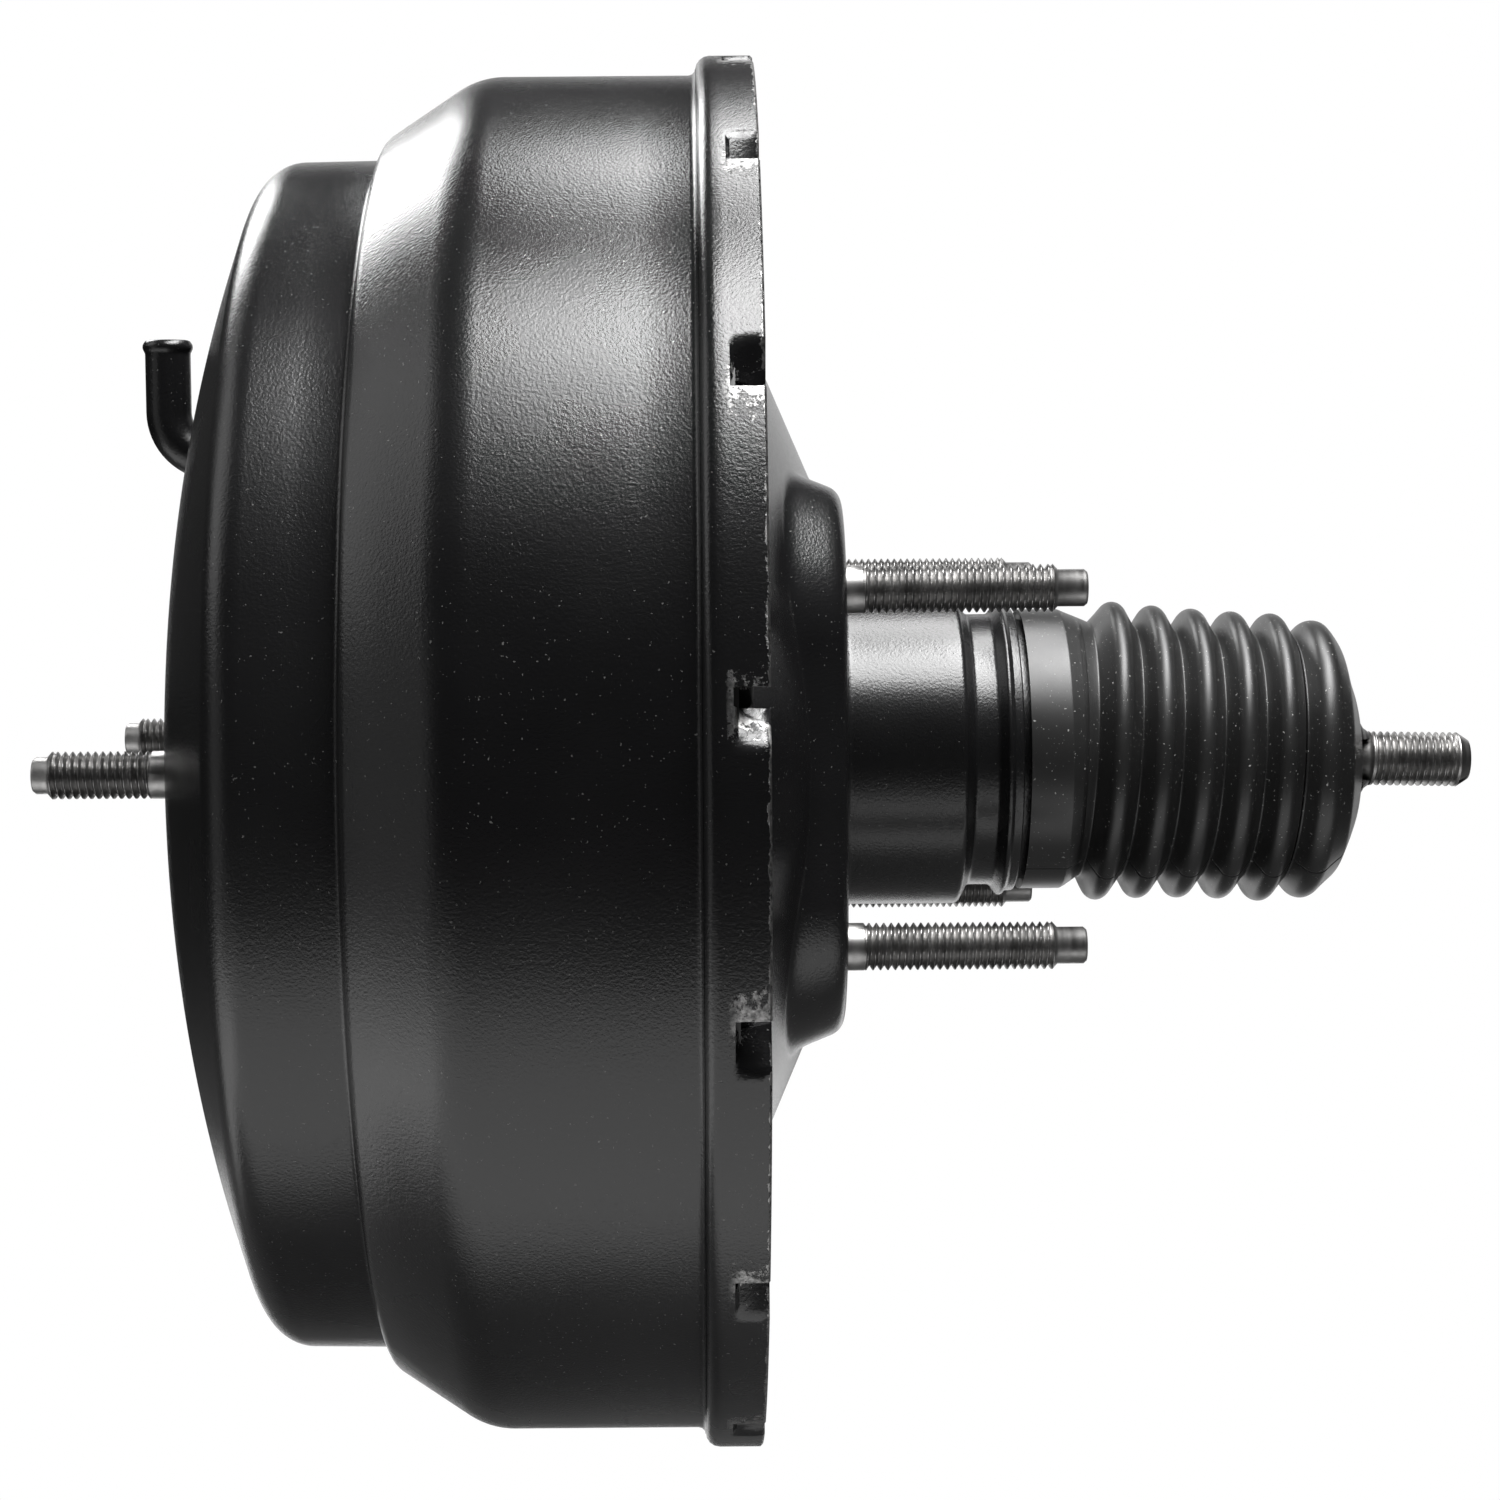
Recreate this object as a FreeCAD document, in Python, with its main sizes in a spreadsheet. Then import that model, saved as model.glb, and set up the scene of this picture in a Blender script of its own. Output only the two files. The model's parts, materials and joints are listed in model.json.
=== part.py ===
import FreeCAD, Part
import math
import os
import re
import Sketcher

# Tandem vacuum brake booster, in millimetres.
# The origin is the centre of the rear mounting face, +X runs along the push rod to the pedal, +Z is up.
# "ahead" means towards the master cylinder (-X), "behind" means towards the pedal (+X).

SIZES = {
    # sheet metal, rubber and clearances
    "shell_wall": 2.0,
    "divider_wall": 1.2,
    "plate_wall": 1.5,
    "rubber_wall": 1.8,
    "boot_wall": 1.4,
    "body_gap": 0.3,
    "running_gap": 0.05,
    # front shell, measured from the rear mounting face
    "front_face": 112.5,
    "pad_radius": 50.0,
    "front_hole_radius": 21.0,
    "dome_rise": 4.4,
    "dome_mid_radius": 74.6,
    "dome_corner_rise": 15.6,
    "dome_bend": 235.0,
    "small_draft": 0.3,
    "small_bend": 7.0,
    "step_face": 77.4,
    "shoulder_step": 3.5,
    "shoulder_bend": 3.0,
    "cone_length": 16.2,
    "cone_rise": 10.5,
    "large_radius": 119.3,
    "large_bend": 14.0,
    "rim_step": 3.3,
    "rim_bend": 2.4,
    "rim_lip": 2.4,
    # lanced tabs that hold the rear shell
    "tab_count": 16,
    "tab_phase": 8.0,
    "tab_width": 9.0,
    "tab_length": 5.4,
    "tab_sink": 2.1,
    "tab_slit": 2.8,
    # rear shell
    "rear_rim_face": 17.0,
    "rear_rim_width": 12.3,
    "rear_flat_drop": 3.5,
    "rear_ledge_width": 4.5,
    "rear_cone_radius": 86.0,
    "rear_cone_width": 39.4,
    "rear_cone_slope": 2.31,
    "rear_bend": 4.0,
    "mount_pad_half_width": 51.5,
    "mount_pad_half_height": 47.5,
    "mount_pad_corner": 26.0,
    "mount_pad_bend": 3.4,
    "neck_radius": 27.8,
    "neck_length": 21.6,
    "neck_waist_radius": 24.4,
    "neck_waist_start": 23.4,
    "neck_waist_end": 27.6,
    "neck_bead_radius": 26.8,
    "neck_bead_place": 29.8,
    "neck_end_radius": 23.4,
    "neck_end_start": 31.8,
    "neck_end": 40.0,
    # studs
    "stud_radius": 4.0,
    "stud_press_radius": 4.5,
    "stud_nub_radius": 3.1,
    "stud_head_radius": 5.4,
    "stud_head_length": 3.0,
    "rear_stud_half_width": 41.0,
    "rear_stud_half_height": 30.0,
    "rear_stud_thread_end": 35.3,
    "rear_stud_end": 40.2,
    "front_stud_half_width": 42.0,
    "front_stud_thread_end": 20.8,
    "front_stud_end": 23.2,
    # front plate with its seal cup
    "front_plate_wall": 1.6,
    "front_plate_radius": 48.0,
    "cup_radius": 19.4,
    "cup_depth": 7.6,
    "cup_hole_radius": 11.0,
    # vacuum pipe
    "pipe_side": 22.0,
    "pipe_height": 54.0,
    "pipe_radius": 4.2,
    "pipe_bore_radius": 2.9,
    "pipe_reach": 10.3,
    "pipe_bend": 8.5,
    "pipe_top": 75.8,
    "pipe_collar_radius": 7.0,
    "pipe_collar_length": 2.2,
    # divider between the two chambers
    "divider_gap": 0.25,
    "front_bead_length": 2.3,
    "front_bead_height": 7.0,
    "rear_bead_length": 1.9,
    "divider_face": 58.0,
    "divider_ledge_width": 3.4,
    "divider_collar_radius": 30.0,
    "divider_collar_length": 9.0,
    # diaphragms and their plates
    "front_plate_room": 2.3,
    "plate_rest": 0.9,
    "front_plate_lip": 7.5,
    "rear_plate_rest": 0.4,
    "rear_plate_lip": 9.0,
    "rear_plate_hub_face": 12.5,
    "rear_plate_hub_radius": 44.0,
    "rear_plate_cone_radius": 62.0,
    "front_ridge_radius": 50.0,
    "rear_ridge_radius": 84.0,
    "ridge_half_width": 8.0,
    "ridge_rise": 2.0,
    "fold_tip": 15.0,
    "fold_width": 4.0,
    "web_gap": 0.8,
    # valve body
    "hub_radius": 24.0,
    "spigot_radius": 20.0,
    "hub_front": 72.0,
    "tube_radius": 20.5,
    "tube_end": 57.0,
    "tube_bore_radius": 17.0,
    "seat_floor": 4.0,
    "seat_height": 4.2,
    "seat_radius": 12.7,
    "seat_width": 1.0,
    "plunger_radius": 9.0,
    "disc_face": 38.0,
    "disc_radius": 13.0,
    "retainer_width": 3.4,
    # stop key and plunger
    "key_place": 23.0,
    "key_thickness": 2.0,
    "key_half_width": 7.0,
    "key_reach": 22.6,
    "key_top": 6.0,
    "plunger_front": 36.3,
    "plunger_neck_radius": 4.5,
    "plunger_seat_radius": 10.8,
    "plunger_seat_width": 2.3,
    "socket_mouth_radius": 7.0,
    "socket_lip_radius": 4.3,
    "socket_lip_place": 4.0,
    # output rod
    "disc_thickness": 5.4,
    "rod_base_thickness": 4.4,
    "output_radius": 6.0,
    "output_length": 56.0,
    "output_bore_radius": 3.5,
    "output_bore_depth": 12.0,
    "output_tip_radius": 5.0,
    "output_tip_length": 7.0,
    "rod_seal_radius": 13.8,
    "rod_seal_lip": 2.0,
    # input rod, measured from the ball's centre
    "ball_place": 8.0,
    "ball_radius": 5.0,
    "rod_neck_radius": 3.1,
    "rod_radius": 4.2,
    "rod_collar_place": 51.0,
    "rod_collar_radius": 8.0,
    "rod_collar_width": 2.0,
    "rod_flat_place": 103.9,
    "rod_thread_radius": 4.9,
    "rod_end": 122.4,
    "rod_droop": 1.2,
    "valve_travel": 1.4,
    # poppet, its retainer and the air filter
    "poppet_length": 18.0,
    "poppet_bore_radius": 8.0,
    "poppet_tube_wall": 2.0,
    "poppet_face_radius": 14.6,
    "poppet_face_width": 1.8,
    "poppet_bead_width": 4.2,
    "poppet_sleeve": 5.4,
    "filter_length": 10.0,
    "filter_bore_radius": 9.5,
    # seals and guides
    "neck_guide_place": 4.0,
    "neck_guide_width": 3.6,
    "neck_seal_width": 8.5,
    "neck_retainer_width": 1.5,
    "divider_seal_width": 5.2,
    # dust boot
    "boot_cuff_radius": 25.2,
    "boot_cuff_start": 33.0,
    "boot_cuff_end": 42.6,
    "boot_root_radius": 23.7,
    "boot_crest_radius": 26.8,
    "boot_crest_place": 48.2,
    "boot_pitch": 7.2,
    "boot_folds": 6,
    "boot_taper": 0.25,
    "boot_end_face": 93.0,
    "boot_collar_radius": 7.4,
    "boot_collar_end": 104.2,
    # coil springs
    "return_wire": 3.0,
    "return_turns": 5,
    "return_radius": 26.5,
    "rod_wire": 1.6,
    "rod_turns": 6,
    "rod_spring_radius": 12.0,
    "rod_spring_end_radius": 6.8,
    "poppet_wire": 1.0,
    "poppet_turns": 4,
    "poppet_spring_radius": 12.2,
}

# Sizes that follow from the ones above
FITTED = {
    "shoulder_radius": "large_radius - cone_rise",
    "small_radius": "shoulder_radius - shoulder_step - small_draft",
    "rim_radius": "large_radius + rim_step",
    "rim_end": "rear_rim_face - rim_lip",
    "rear_rim_radius": "rim_radius - shell_wall - body_gap",
    "rear_flat_radius": "rear_rim_radius - rear_rim_width",
    "rear_ledge_radius": "rear_flat_radius - rear_ledge_width",
    "rear_flat_depth": "rear_rim_face + rear_flat_drop",
    "rear_cone_top": "rear_cone_radius - rear_cone_width",
    "divider_flange_face": "rear_rim_face + shell_wall + rear_bead_length + running_gap * 2",
    "rim_shoulder": "divider_flange_face + divider_wall + shell_wall + running_gap * 2",
    "divider_front": "step_face - shell_wall - body_gap - front_bead_length",
    "divider_ledge_radius": "shoulder_radius - shell_wall - front_bead_height",
    "divider_face_radius": "divider_ledge_radius - divider_ledge_width",
    "front_plate_face": "divider_face + plate_rest + rubber_wall + body_gap",
    "front_plate_rim": "divider_face_radius - web_gap - rubber_wall - front_plate_room",
    "rear_plate_face": "rear_flat_depth + shell_wall + rear_plate_rest + rubber_wall + body_gap",
    "rear_plate_fold": "divider_gap + divider_wall + rubber_wall * 2 + fold_width + body_gap * 2.5",
    "rear_plate_rim": "large_radius - shell_wall - rear_plate_fold",
}

doc = FreeCAD.newDocument("brake_booster")
sheet = doc.addObject("Spreadsheet::Sheet", "dims")
for row, (name, size) in enumerate([*SIZES.items(), *FITTED.items()], start=1):
    sheet.set(f"A{row}", name)
    sheet.set(f"B{row}", f"={size}")
    sheet.setAlias(f"B{row}", name)
doc.recompute()

parts = {}


# Sizes as expressions

def cells(text):
    """An expression in which each size is read from its cell."""
    named = {**SIZES, **FITTED}
    return re.sub(r"[a-z][a-z_]+", lambda m: "dims." + m[0] if m[0] in named else m[0], str(text))


def number(text):
    """The expression's value now."""
    found = sheet.evalExpression(cells(text))
    return float(getattr(found, "Value", found))


# Sketches of straight runs with rounded corners

def origin_plane(body, role):
    return [face for face in body.Origin.OriginFeatures if face.Role == role][0]


def new_sketch(body, role="XZ_Plane", offset=None, turn=None):
    """A sketch on one of the body's own planes; offset and turn are expressions in the plane's axes."""
    sketch = body.newObject("Sketcher::SketchObject", body.Name + "_sketch")
    sketch.AttachmentSupport = [(origin_plane(body, role), "")]
    sketch.MapMode = "FlatFace"
    for axis, text in zip("xyz", offset or ()):
        sketch.setExpression("AttachmentOffset.Base." + axis, cells(text))
    if turn is not None:
        sketch.AttachmentOffset = FreeCAD.Placement(
            FreeCAD.Vector(*[number(text) for text in offset]), FreeCAD.Rotation(FreeCAD.Vector(0, 0, 1), 1)
        )
        sketch.setExpression("AttachmentOffset.Rotation.Angle", cells(turn))
    return sketch


class Outline:
    """Collects a sketch's geometry and rules, then adds them at once."""

    def __init__(self, sketch):
        self.sketch = sketch
        self.shapes = []
        self.helpers = []
        self.rules = []
        self.bound = []

    def add(self, shape, helper=False):
        self.shapes.append(shape)
        self.helpers.append(helper)
        return len(self.shapes) - 1

    def rule(self, *words, size=None):
        if size is not None:
            self.bound.append((len(self.rules), cells(size)))
        self.rules.append(Sketcher.Constraint(*words))

    def place(self, index, along, across):
        """Hold a point at its two distances from the origin."""
        for kind, axis, text in (("DistanceX", -2, along), ("DistanceY", -1, across)):
            value = number(text)
            if abs(value) < 1e-9:
                self.rule("PointOnObject", index, 1, axis)
            else:
                self.rule(kind, -1, 1, index, 1, value, size=text)

    def close(self):
        first = len(self.sketch.Geometry)
        for shape, helper in zip(self.shapes, self.helpers):
            self.sketch.addGeometry(shape, helper)
        base = len(self.sketch.Constraints)
        self.sketch.addConstraint(self.rules)
        for index, text in self.bound:
            self.sketch.setExpression(f"Constraints[{base + index}]", text)
        return first


def flat(along, across):
    return FreeCAD.Vector(along, across, 0)


def loop(outline, points, marks, bends):
    """A closed run of lines through the marked points, with an arc at each corner that has a bend."""
    count = len(points)
    ways = [(points[(i + 1) % count] - points[i]).normalize() for i in range(count)]
    starts = list(points)
    ends = [points[(i + 1) % count] for i in range(count)]
    arcs = {}
    for i, bend in enumerate(bends):
        if bend is None:
            continue
        come, go = ways[i - 1], ways[i]
        radius = number(bend)
        left = come.cross(go).z > 0
        reach = radius * math.tan(come.getAngle(go) / 2)
        begin = points[i] - come * reach
        finish = points[i] + go * reach
        side = flat(-come.y, come.x) if left else flat(come.y, -come.x)
        centre = begin + side * radius
        first, last = (begin, finish) if left else (finish, begin)
        angles = [math.atan2(p.y - centre.y, p.x - centre.x) for p in (first, last)]
        if angles[1] < angles[0]:
            angles[1] += 2 * math.pi
        circle = Part.Circle(centre, FreeCAD.Vector(0, 0, 1), radius)
        arcs[i] = (outline.add(Part.ArcOfCircle(circle, *angles)), left, bend)
        ends[i - 1] = begin
        starts[i] = finish
    lines = [outline.add(Part.LineSegment(starts[i], ends[i])) for i in range(count)]
    for i in range(count):
        before, after = lines[i - 1], lines[i]
        if i in arcs:
            arc, left, bend = arcs[i]
            outline.rule("PointOnObject", marks[i], 1, before)
            outline.rule("PointOnObject", marks[i], 1, after)
            outline.rule("Tangent", before, 2, arc, 1 if left else 2)
            outline.rule("Tangent", after, 1, arc, 2 if left else 1)
            outline.rule("Radius", arc, number(bend), size=bend)
        else:
            outline.rule("Coincident", before, 2, marks[i], 1)
            outline.rule("Coincident", after, 1, marks[i], 1)
    return lines


def marked(outline, corners):
    """The corners as points held at their distances, with their bends."""
    points = [flat(number(c[0]), number(c[1])) for c in corners]
    marks = [outline.add(Part.Point(p), True) for p in points]
    for mark, corner in zip(marks, corners):
        outline.place(mark, corner[0], corner[1])
    return points, marks, [c[2] if len(c) > 2 else None for c in corners]


def draw_solid(sketch, corners):
    """A closed profile through the corners."""
    outline = Outline(sketch)
    loop(outline, *marked(outline, corners))
    outline.close()


def draw_sheet(sketch, corners, wall, side):
    """A profile of even wall along the corners; side 1 puts the wall on the left of the run, -1 on the right."""
    outline = Outline(sketch)
    points, marks, bends = marked(outline, corners)
    last = len(points) - 1
    thick = number(wall)
    ways = [(points[i + 1] - points[i]).normalize() for i in range(last)]
    sides = [flat(-way.y, way.x) * side for way in ways]
    inner = [points[0] + sides[0] * thick]
    for i in range(1, last):
        middle = (sides[i - 1] + sides[i]).normalize()
        inner.append(points[i] + middle * (thick / middle.dot(sides[i])))
    inner.append(points[last] + sides[-1] * thick)
    inner_bends = [None]
    for i in range(1, last):
        bend = bends[i]
        if bend is not None:
            inside = ways[i - 1].cross(ways[i]).z * side > 0
            bend = f"{bend} - {wall}" if inside else f"{bend} + {wall}"
            bend = bend if number(bend) > 0.25 else None
        inner_bends.append(bend)
    inner_bends.append(None)
    inner_marks = [outline.add(Part.Point(p), True) for p in inner]
    lines = loop(
        outline, points + inner[::-1], marks + inner_marks[::-1], bends + inner_bends[::-1]
    )
    for i, mark in enumerate(inner_marks):
        for line in {max(i - 1, 0), min(i, last - 1)}:
            outline.rule("Distance", mark, 1, lines[line], thick, size=wall)
    outline.rule("Perpendicular", lines[last], lines[last - 1])
    outline.rule("Perpendicular", lines[-1], lines[0])
    outline.close()


def draw_circles(sketch, circles):
    """Circles at their places: along, across and radius."""
    outline = Outline(sketch)
    for along, across, radius in circles:
        centre = flat(number(along), number(across))
        mark = outline.add(Part.Point(centre), True)
        outline.place(mark, along, across)
        ring = outline.add(Part.Circle(centre, FreeCAD.Vector(0, 0, 1), number(radius)))
        outline.rule("Coincident", ring, 3, mark, 1)
        outline.rule("Radius", ring, number(radius), size=radius)
    outline.close()


# Bodies and their features

def new_body(label):
    body = doc.addObject("PartDesign::Body", label)
    body.Label = label
    parts[label] = body
    return body


def revolve(body, sketch, kind="Revolution"):
    feature = body.newObject("PartDesign::" + kind, body.Name + "_" + kind.lower())
    feature.Profile = sketch
    feature.ReferenceAxis = (sketch, ["H_Axis"])
    feature.Angle = 360
    sketch.Visibility = False
    return feature


def turned(label, corners):
    """A body turned about the X axis from a closed profile."""
    body = new_body(label)
    sketch = new_sketch(body)
    draw_solid(sketch, corners)
    revolve(body, sketch)
    return body


def pressed(label, corners, wall, side):
    """A body spun from sheet of even wall about the X axis."""
    body = new_body(label)
    sketch = new_sketch(body)
    draw_sheet(sketch, corners, wall, side)
    revolve(body, sketch)
    return body


def add_turned(body, corners, kind="Revolution", offset=None, turn=None):
    sketch = new_sketch(body, offset=offset, turn=turn)
    draw_solid(sketch, corners)
    return revolve(body, sketch, kind)


def drill(body, circles):
    """Holes along X, right through the body; places are along Y and Z."""
    sketch = new_sketch(body, "YZ_Plane")
    draw_circles(sketch, circles)
    pocket = body.newObject("PartDesign::Pocket", body.Name + "_holes")
    pocket.Profile = sketch
    pocket.Type = "ThroughAll"
    pocket.SideType = "Symmetric"
    return pocket


def prism(body, kind, corners, start, end, turn=None):
    """A pad or pocket of a closed profile between two places along X."""
    sketch = new_sketch(body, "YZ_Plane", offset=("0", "0", start), turn=turn)
    draw_solid(sketch, corners)
    feature = body.newObject("PartDesign::" + kind, body.Name + "_" + kind.lower())
    feature.Profile = sketch
    feature.Type = "Length"
    feature.setExpression("Length", cells(f"({end}) - ({start})"))
    feature.Reversed = kind == "Pocket"
    return feature


def polar(body, originals, count):
    pattern = body.newObject("PartDesign::PolarPattern", body.Name + "_pattern")
    pattern.Originals = originals
    pattern.Axis = (origin_plane(body, "X_Axis"), [""])
    pattern.Angle = 360
    pattern.setExpression("Occurrences", cells(count))
    body.Tip = pattern
    return pattern


def mirrored(body, original, roles):
    """Copies of a feature across the body's own planes."""
    steps = []
    for role in roles:
        step = doc.addObject("PartDesign::Mirrored", body.Name + "_mirror")
        step.MirrorPlane = (origin_plane(body, role), [""])
        steps.append(step)
    multi = body.newObject("PartDesign::MultiTransform", body.Name + "_copies")
    multi.Originals = [original]
    multi.Transformations = steps
    body.Tip = multi
    return multi


def spring(label, wire, turns, start, end, start_radius, end_radius):
    """A coil between two places along X, cylindrical or conical; eight flats stand for the round wire."""
    body = new_body(label)
    sketch = new_sketch(body)
    draw_solid(
        sketch,
        [
            (f"{start} + {wire} / 2 * cos({angle})", f"{start_radius} + {wire} / 2 * sin({angle})")
            for angle in (22.5, 67.5, 112.5, 157.5, 202.5, 247.5, 292.5, 337.5)
        ],
    )
    coil = body.newObject("PartDesign::AdditiveHelix", label + "_coil")
    coil.Profile = sketch
    coil.ReferenceAxis = (sketch, ["H_Axis"])
    coil.Mode = "height-turns-growth"
    coil.setExpression("Height", cells(f"({end}) - ({start})"))
    coil.setExpression("Turns", cells(turns))
    coil.setExpression("Growth", cells(f"(({end_radius}) - ({start_radius})) / {turns}"))
    return body


# Front shell: flat pad, domed face, small drum, step, cone, large drum and crimped rim

def front_shell():
    body = pressed(
        "front_shell",
        [
            ("-front_face", "front_hole_radius"),
            ("-front_face", "pad_radius", "shell_wall * 3"),
            ("-front_face + dome_rise", "dome_mid_radius", "dome_bend"),
            ("-front_face + dome_corner_rise", "small_radius", "small_bend"),
            ("-step_face", "small_radius + small_draft", "shell_wall / 2"),
            ("-step_face", "shoulder_radius", "shoulder_bend"),
            ("-step_face + cone_length", "large_radius", "large_bend"),
            ("-rim_shoulder", "large_radius", "shell_wall / 2"),
            ("-rim_shoulder", "rim_radius", "rim_bend"),
            ("-rim_end", "rim_radius"),
        ],
        "shell_wall",
        -1,
    )
    drill(
        body,
        [
            ("front_stud_half_width", "0", "stud_press_radius"),
            ("-front_stud_half_width", "0", "stud_press_radius"),
            ("pipe_side", "pipe_height", "pipe_collar_radius + running_gap"),
        ],
    )
    start = "-rim_end - tab_length"
    catch = "-rear_rim_face + body_gap"
    near = "tab_slit / 2"
    far = "(tab_slit / 2 + tab_width)"
    slit = [
        (f"-{near}", "rim_radius - shell_wall * 2"),
        (near, "rim_radius - shell_wall * 2"),
        (near, "rim_radius + shell_wall"),
        (f"-{near}", "rim_radius + shell_wall"),
    ]
    band = [(f"-{far}", slit[0][1]), slit[0], slit[3], (f"-{far}", slit[3][1])]
    tongue = [
        (f"-{far} - tab_slit / 4", f"sqrt((rim_radius - shell_wall)^2 - {far}^2)"),
        (f"-{near}", "rim_radius - tab_sink - shell_wall"),
        (f"-{near}", "rim_radius - tab_sink"),
        (f"-{far} - tab_slit / 4", f"sqrt(rim_radius^2 - {far}^2)"),
    ]
    cuts = prism(body, "Pocket", slit, start, "-rim_end + shell_wall", turn="-tab_phase")
    lance = prism(body, "Pocket", band, catch, "-rim_end + shell_wall", turn="-tab_phase")
    leaf = prism(body, "Pad", tongue, f"{catch} - body_gap / 4", "-rim_end - body_gap / 4", turn="-tab_phase")
    polar(body, [cuts, lance, leaf], "tab_count")
    return body


# Rear shell: rim, cone, raised mounting pad and the neck that carries the boot

def pad_outline(inset):
    """The mounting pad's rounded rectangle, a little inside its outer edge."""
    width, height = f"(mount_pad_half_width - {inset})", f"(mount_pad_half_height - {inset})"
    corner = f"mount_pad_corner - {inset}"
    return [(f"{a} * {width}", f"{b} * {height}", corner) for a, b in ((-1, -1), (1, -1), (1, 1), (-1, 1))]


def rear_shell():
    cone_base = "-rear_flat_depth"
    cone_top = "-rear_flat_depth + (rear_cone_radius - rear_cone_top) / rear_cone_slope"
    rim_front = "-rear_rim_face - shell_wall"
    flat_front = "-rear_flat_depth - shell_wall"
    slant = "shell_wall * 0.9"
    body = turned(
        "rear_shell",
        [
            (flat_front, "rear_cone_radius + shell_wall * 0.4"),
            (flat_front, "rear_ledge_radius + shell_wall * 0.2", "shell_wall"),
            (rim_front, "rear_flat_radius + shell_wall * 0.2", "shell_wall"),
            (rim_front, "rear_rim_radius"),
            ("-rear_rim_face", "rear_rim_radius"),
            ("-rear_rim_face", "rear_flat_radius", "rear_bend"),
            (cone_base, "rear_ledge_radius", "rear_bend / 2"),
            (cone_base, "rear_cone_radius", "rear_bend * 2"),
            (cone_top, "rear_cone_top"),
            (cone_top, "neck_radius - shell_wall"),
            (f"{cone_top} - shell_wall", "neck_radius - shell_wall"),
            (f"{cone_top} - {slant}", "rear_cone_top - shell_wall / 2"),
        ],
    )
    pad = prism(body, "Pad", pad_outline("0"), "-rear_flat_depth / 2", "0")
    doc.recompute()
    rim = [
        f"Edge{i}"
        for i, edge in enumerate(pad.Shape.Edges, start=1)
        if abs(edge.BoundBox.XMin) < 1e-6 and abs(edge.BoundBox.XMax) < 1e-6
    ]
    round_off = body.newObject("PartDesign::Fillet", "rear_shell_round")
    round_off.Base = (pad, rim)
    round_off.setExpression("Radius", cells("mount_pad_bend"))
    add_turned(
        body,
        [
            ("0", "0"),
            ("0", "neck_radius"),
            ("neck_length", "neck_radius", "shell_wall"),
            ("neck_waist_start", "neck_waist_radius", "shell_wall / 2"),
            ("neck_waist_end", "neck_waist_radius", "shell_wall / 2"),
            ("neck_bead_place", "neck_bead_radius", "shell_wall / 4"),
            ("neck_end_start", "neck_end_radius", "shell_wall / 4"),
            ("neck_end", "neck_end_radius"),
            ("neck_end", "0"),
        ],
    )
    inner_cone_top = f"{cone_top} - {slant}"
    add_turned(
        body,
        [
            (f"{flat_front} - shell_wall", "0"),
            (f"{flat_front} - shell_wall", "rear_cone_radius + shell_wall * 2.3"),
            (inner_cone_top, "rear_cone_top - shell_wall / 2"),
            ("-shell_wall", "rear_cone_top - shell_wall / 2"),
            ("-shell_wall", "neck_radius - shell_wall"),
            ("neck_length - shell_wall / 2", "neck_radius - shell_wall"),
            ("neck_waist_start - shell_wall / 4", "neck_end_radius - shell_wall"),
            ("neck_end + shell_wall", "neck_end_radius - shell_wall"),
            ("neck_end + shell_wall", "0"),
        ],
        "Groove",
    )
    prism(body, "Pocket", pad_outline("shell_wall"), f"{flat_front} - shell_wall", "-shell_wall")
    width, height = "rear_stud_half_width", "rear_stud_half_height"
    drill(body, [(f"{a} * {width}", f"{b} * {height}", "stud_press_radius") for a in (1, -1) for b in (1, -1)])
    return body


# Studs: head inside, press fit in the sheet, thread at its outside size and a dog point

def studs(label, seat, way, stack, thread_end, end, side, height, planes):
    body = new_body(label)
    out = lambda reach: f"({seat}) + ({way}) * ({reach})"
    sketch = new_sketch(body, offset=("0", height, f"-({side})"))
    draw_solid(
        sketch,
        [
            (out(f"-{stack} - stud_head_length"), "0"),
            (out(f"-{stack} - stud_head_length"), "stud_head_radius"),
            (out(f"-{stack}"), "stud_head_radius"),
            (out(f"-{stack}"), "stud_press_radius"),
            (out("0"), "stud_press_radius"),
            (out("0"), "stud_radius"),
            (out(f"{thread_end} - 0.8"), "stud_radius"),
            (out(thread_end), "stud_nub_radius"),
            (out(f"{end} - 0.4"), "stud_nub_radius"),
            (out(end), "stud_nub_radius - 0.4"),
            (out(end), "0"),
        ],
    )
    mirrored(body, revolve(body, sketch), planes)
    return body


# Front plate: backs the pad, takes the stud heads and holds the rod seal in its cup

def front_plate():
    body = pressed(
        "front_plate",
        [
            ("-front_face + shell_wall", "front_plate_radius"),
            ("-front_face + shell_wall", "cup_radius + front_plate_wall", "front_plate_wall"),
            ("-front_face + shell_wall + cup_depth", "cup_radius + front_plate_wall", "front_plate_wall * 1.6"),
            ("-front_face + shell_wall + cup_depth", "cup_hole_radius"),
        ],
        "front_plate_wall",
        1,
    )
    drill(
        body,
        [
            ("front_stud_half_width", "0", "stud_press_radius"),
            ("-front_stud_half_width", "0", "stud_press_radius"),
        ],
    )
    return body


# Seals and guides of the housing

def ring(label, start, end, inner, outer):
    """A plain ring between two places and two radii."""
    return turned(label, [(start, inner), (start, outer), (end, outer), (end, inner)])


def rod_seal():
    cup_floor = "-front_face + shell_wall + cup_depth"
    back = f"{cup_floor} + front_plate_wall"
    bore = "output_radius + running_gap"
    return turned(
        "rod_seal",
        [
            (f"{cup_floor} - rod_seal_lip", bore),
            (f"{cup_floor} - rod_seal_lip", "rod_seal_radius"),
            (cup_floor, "rod_seal_radius"),
            (cup_floor, "cup_hole_radius"),
            (back, "cup_hole_radius"),
            (back, "rod_seal_radius"),
            (f"{back} + rod_seal_lip", "rod_seal_radius - rod_seal_lip / 2"),
            (f"{back} + rod_seal_lip", bore),
        ],
    )


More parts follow.
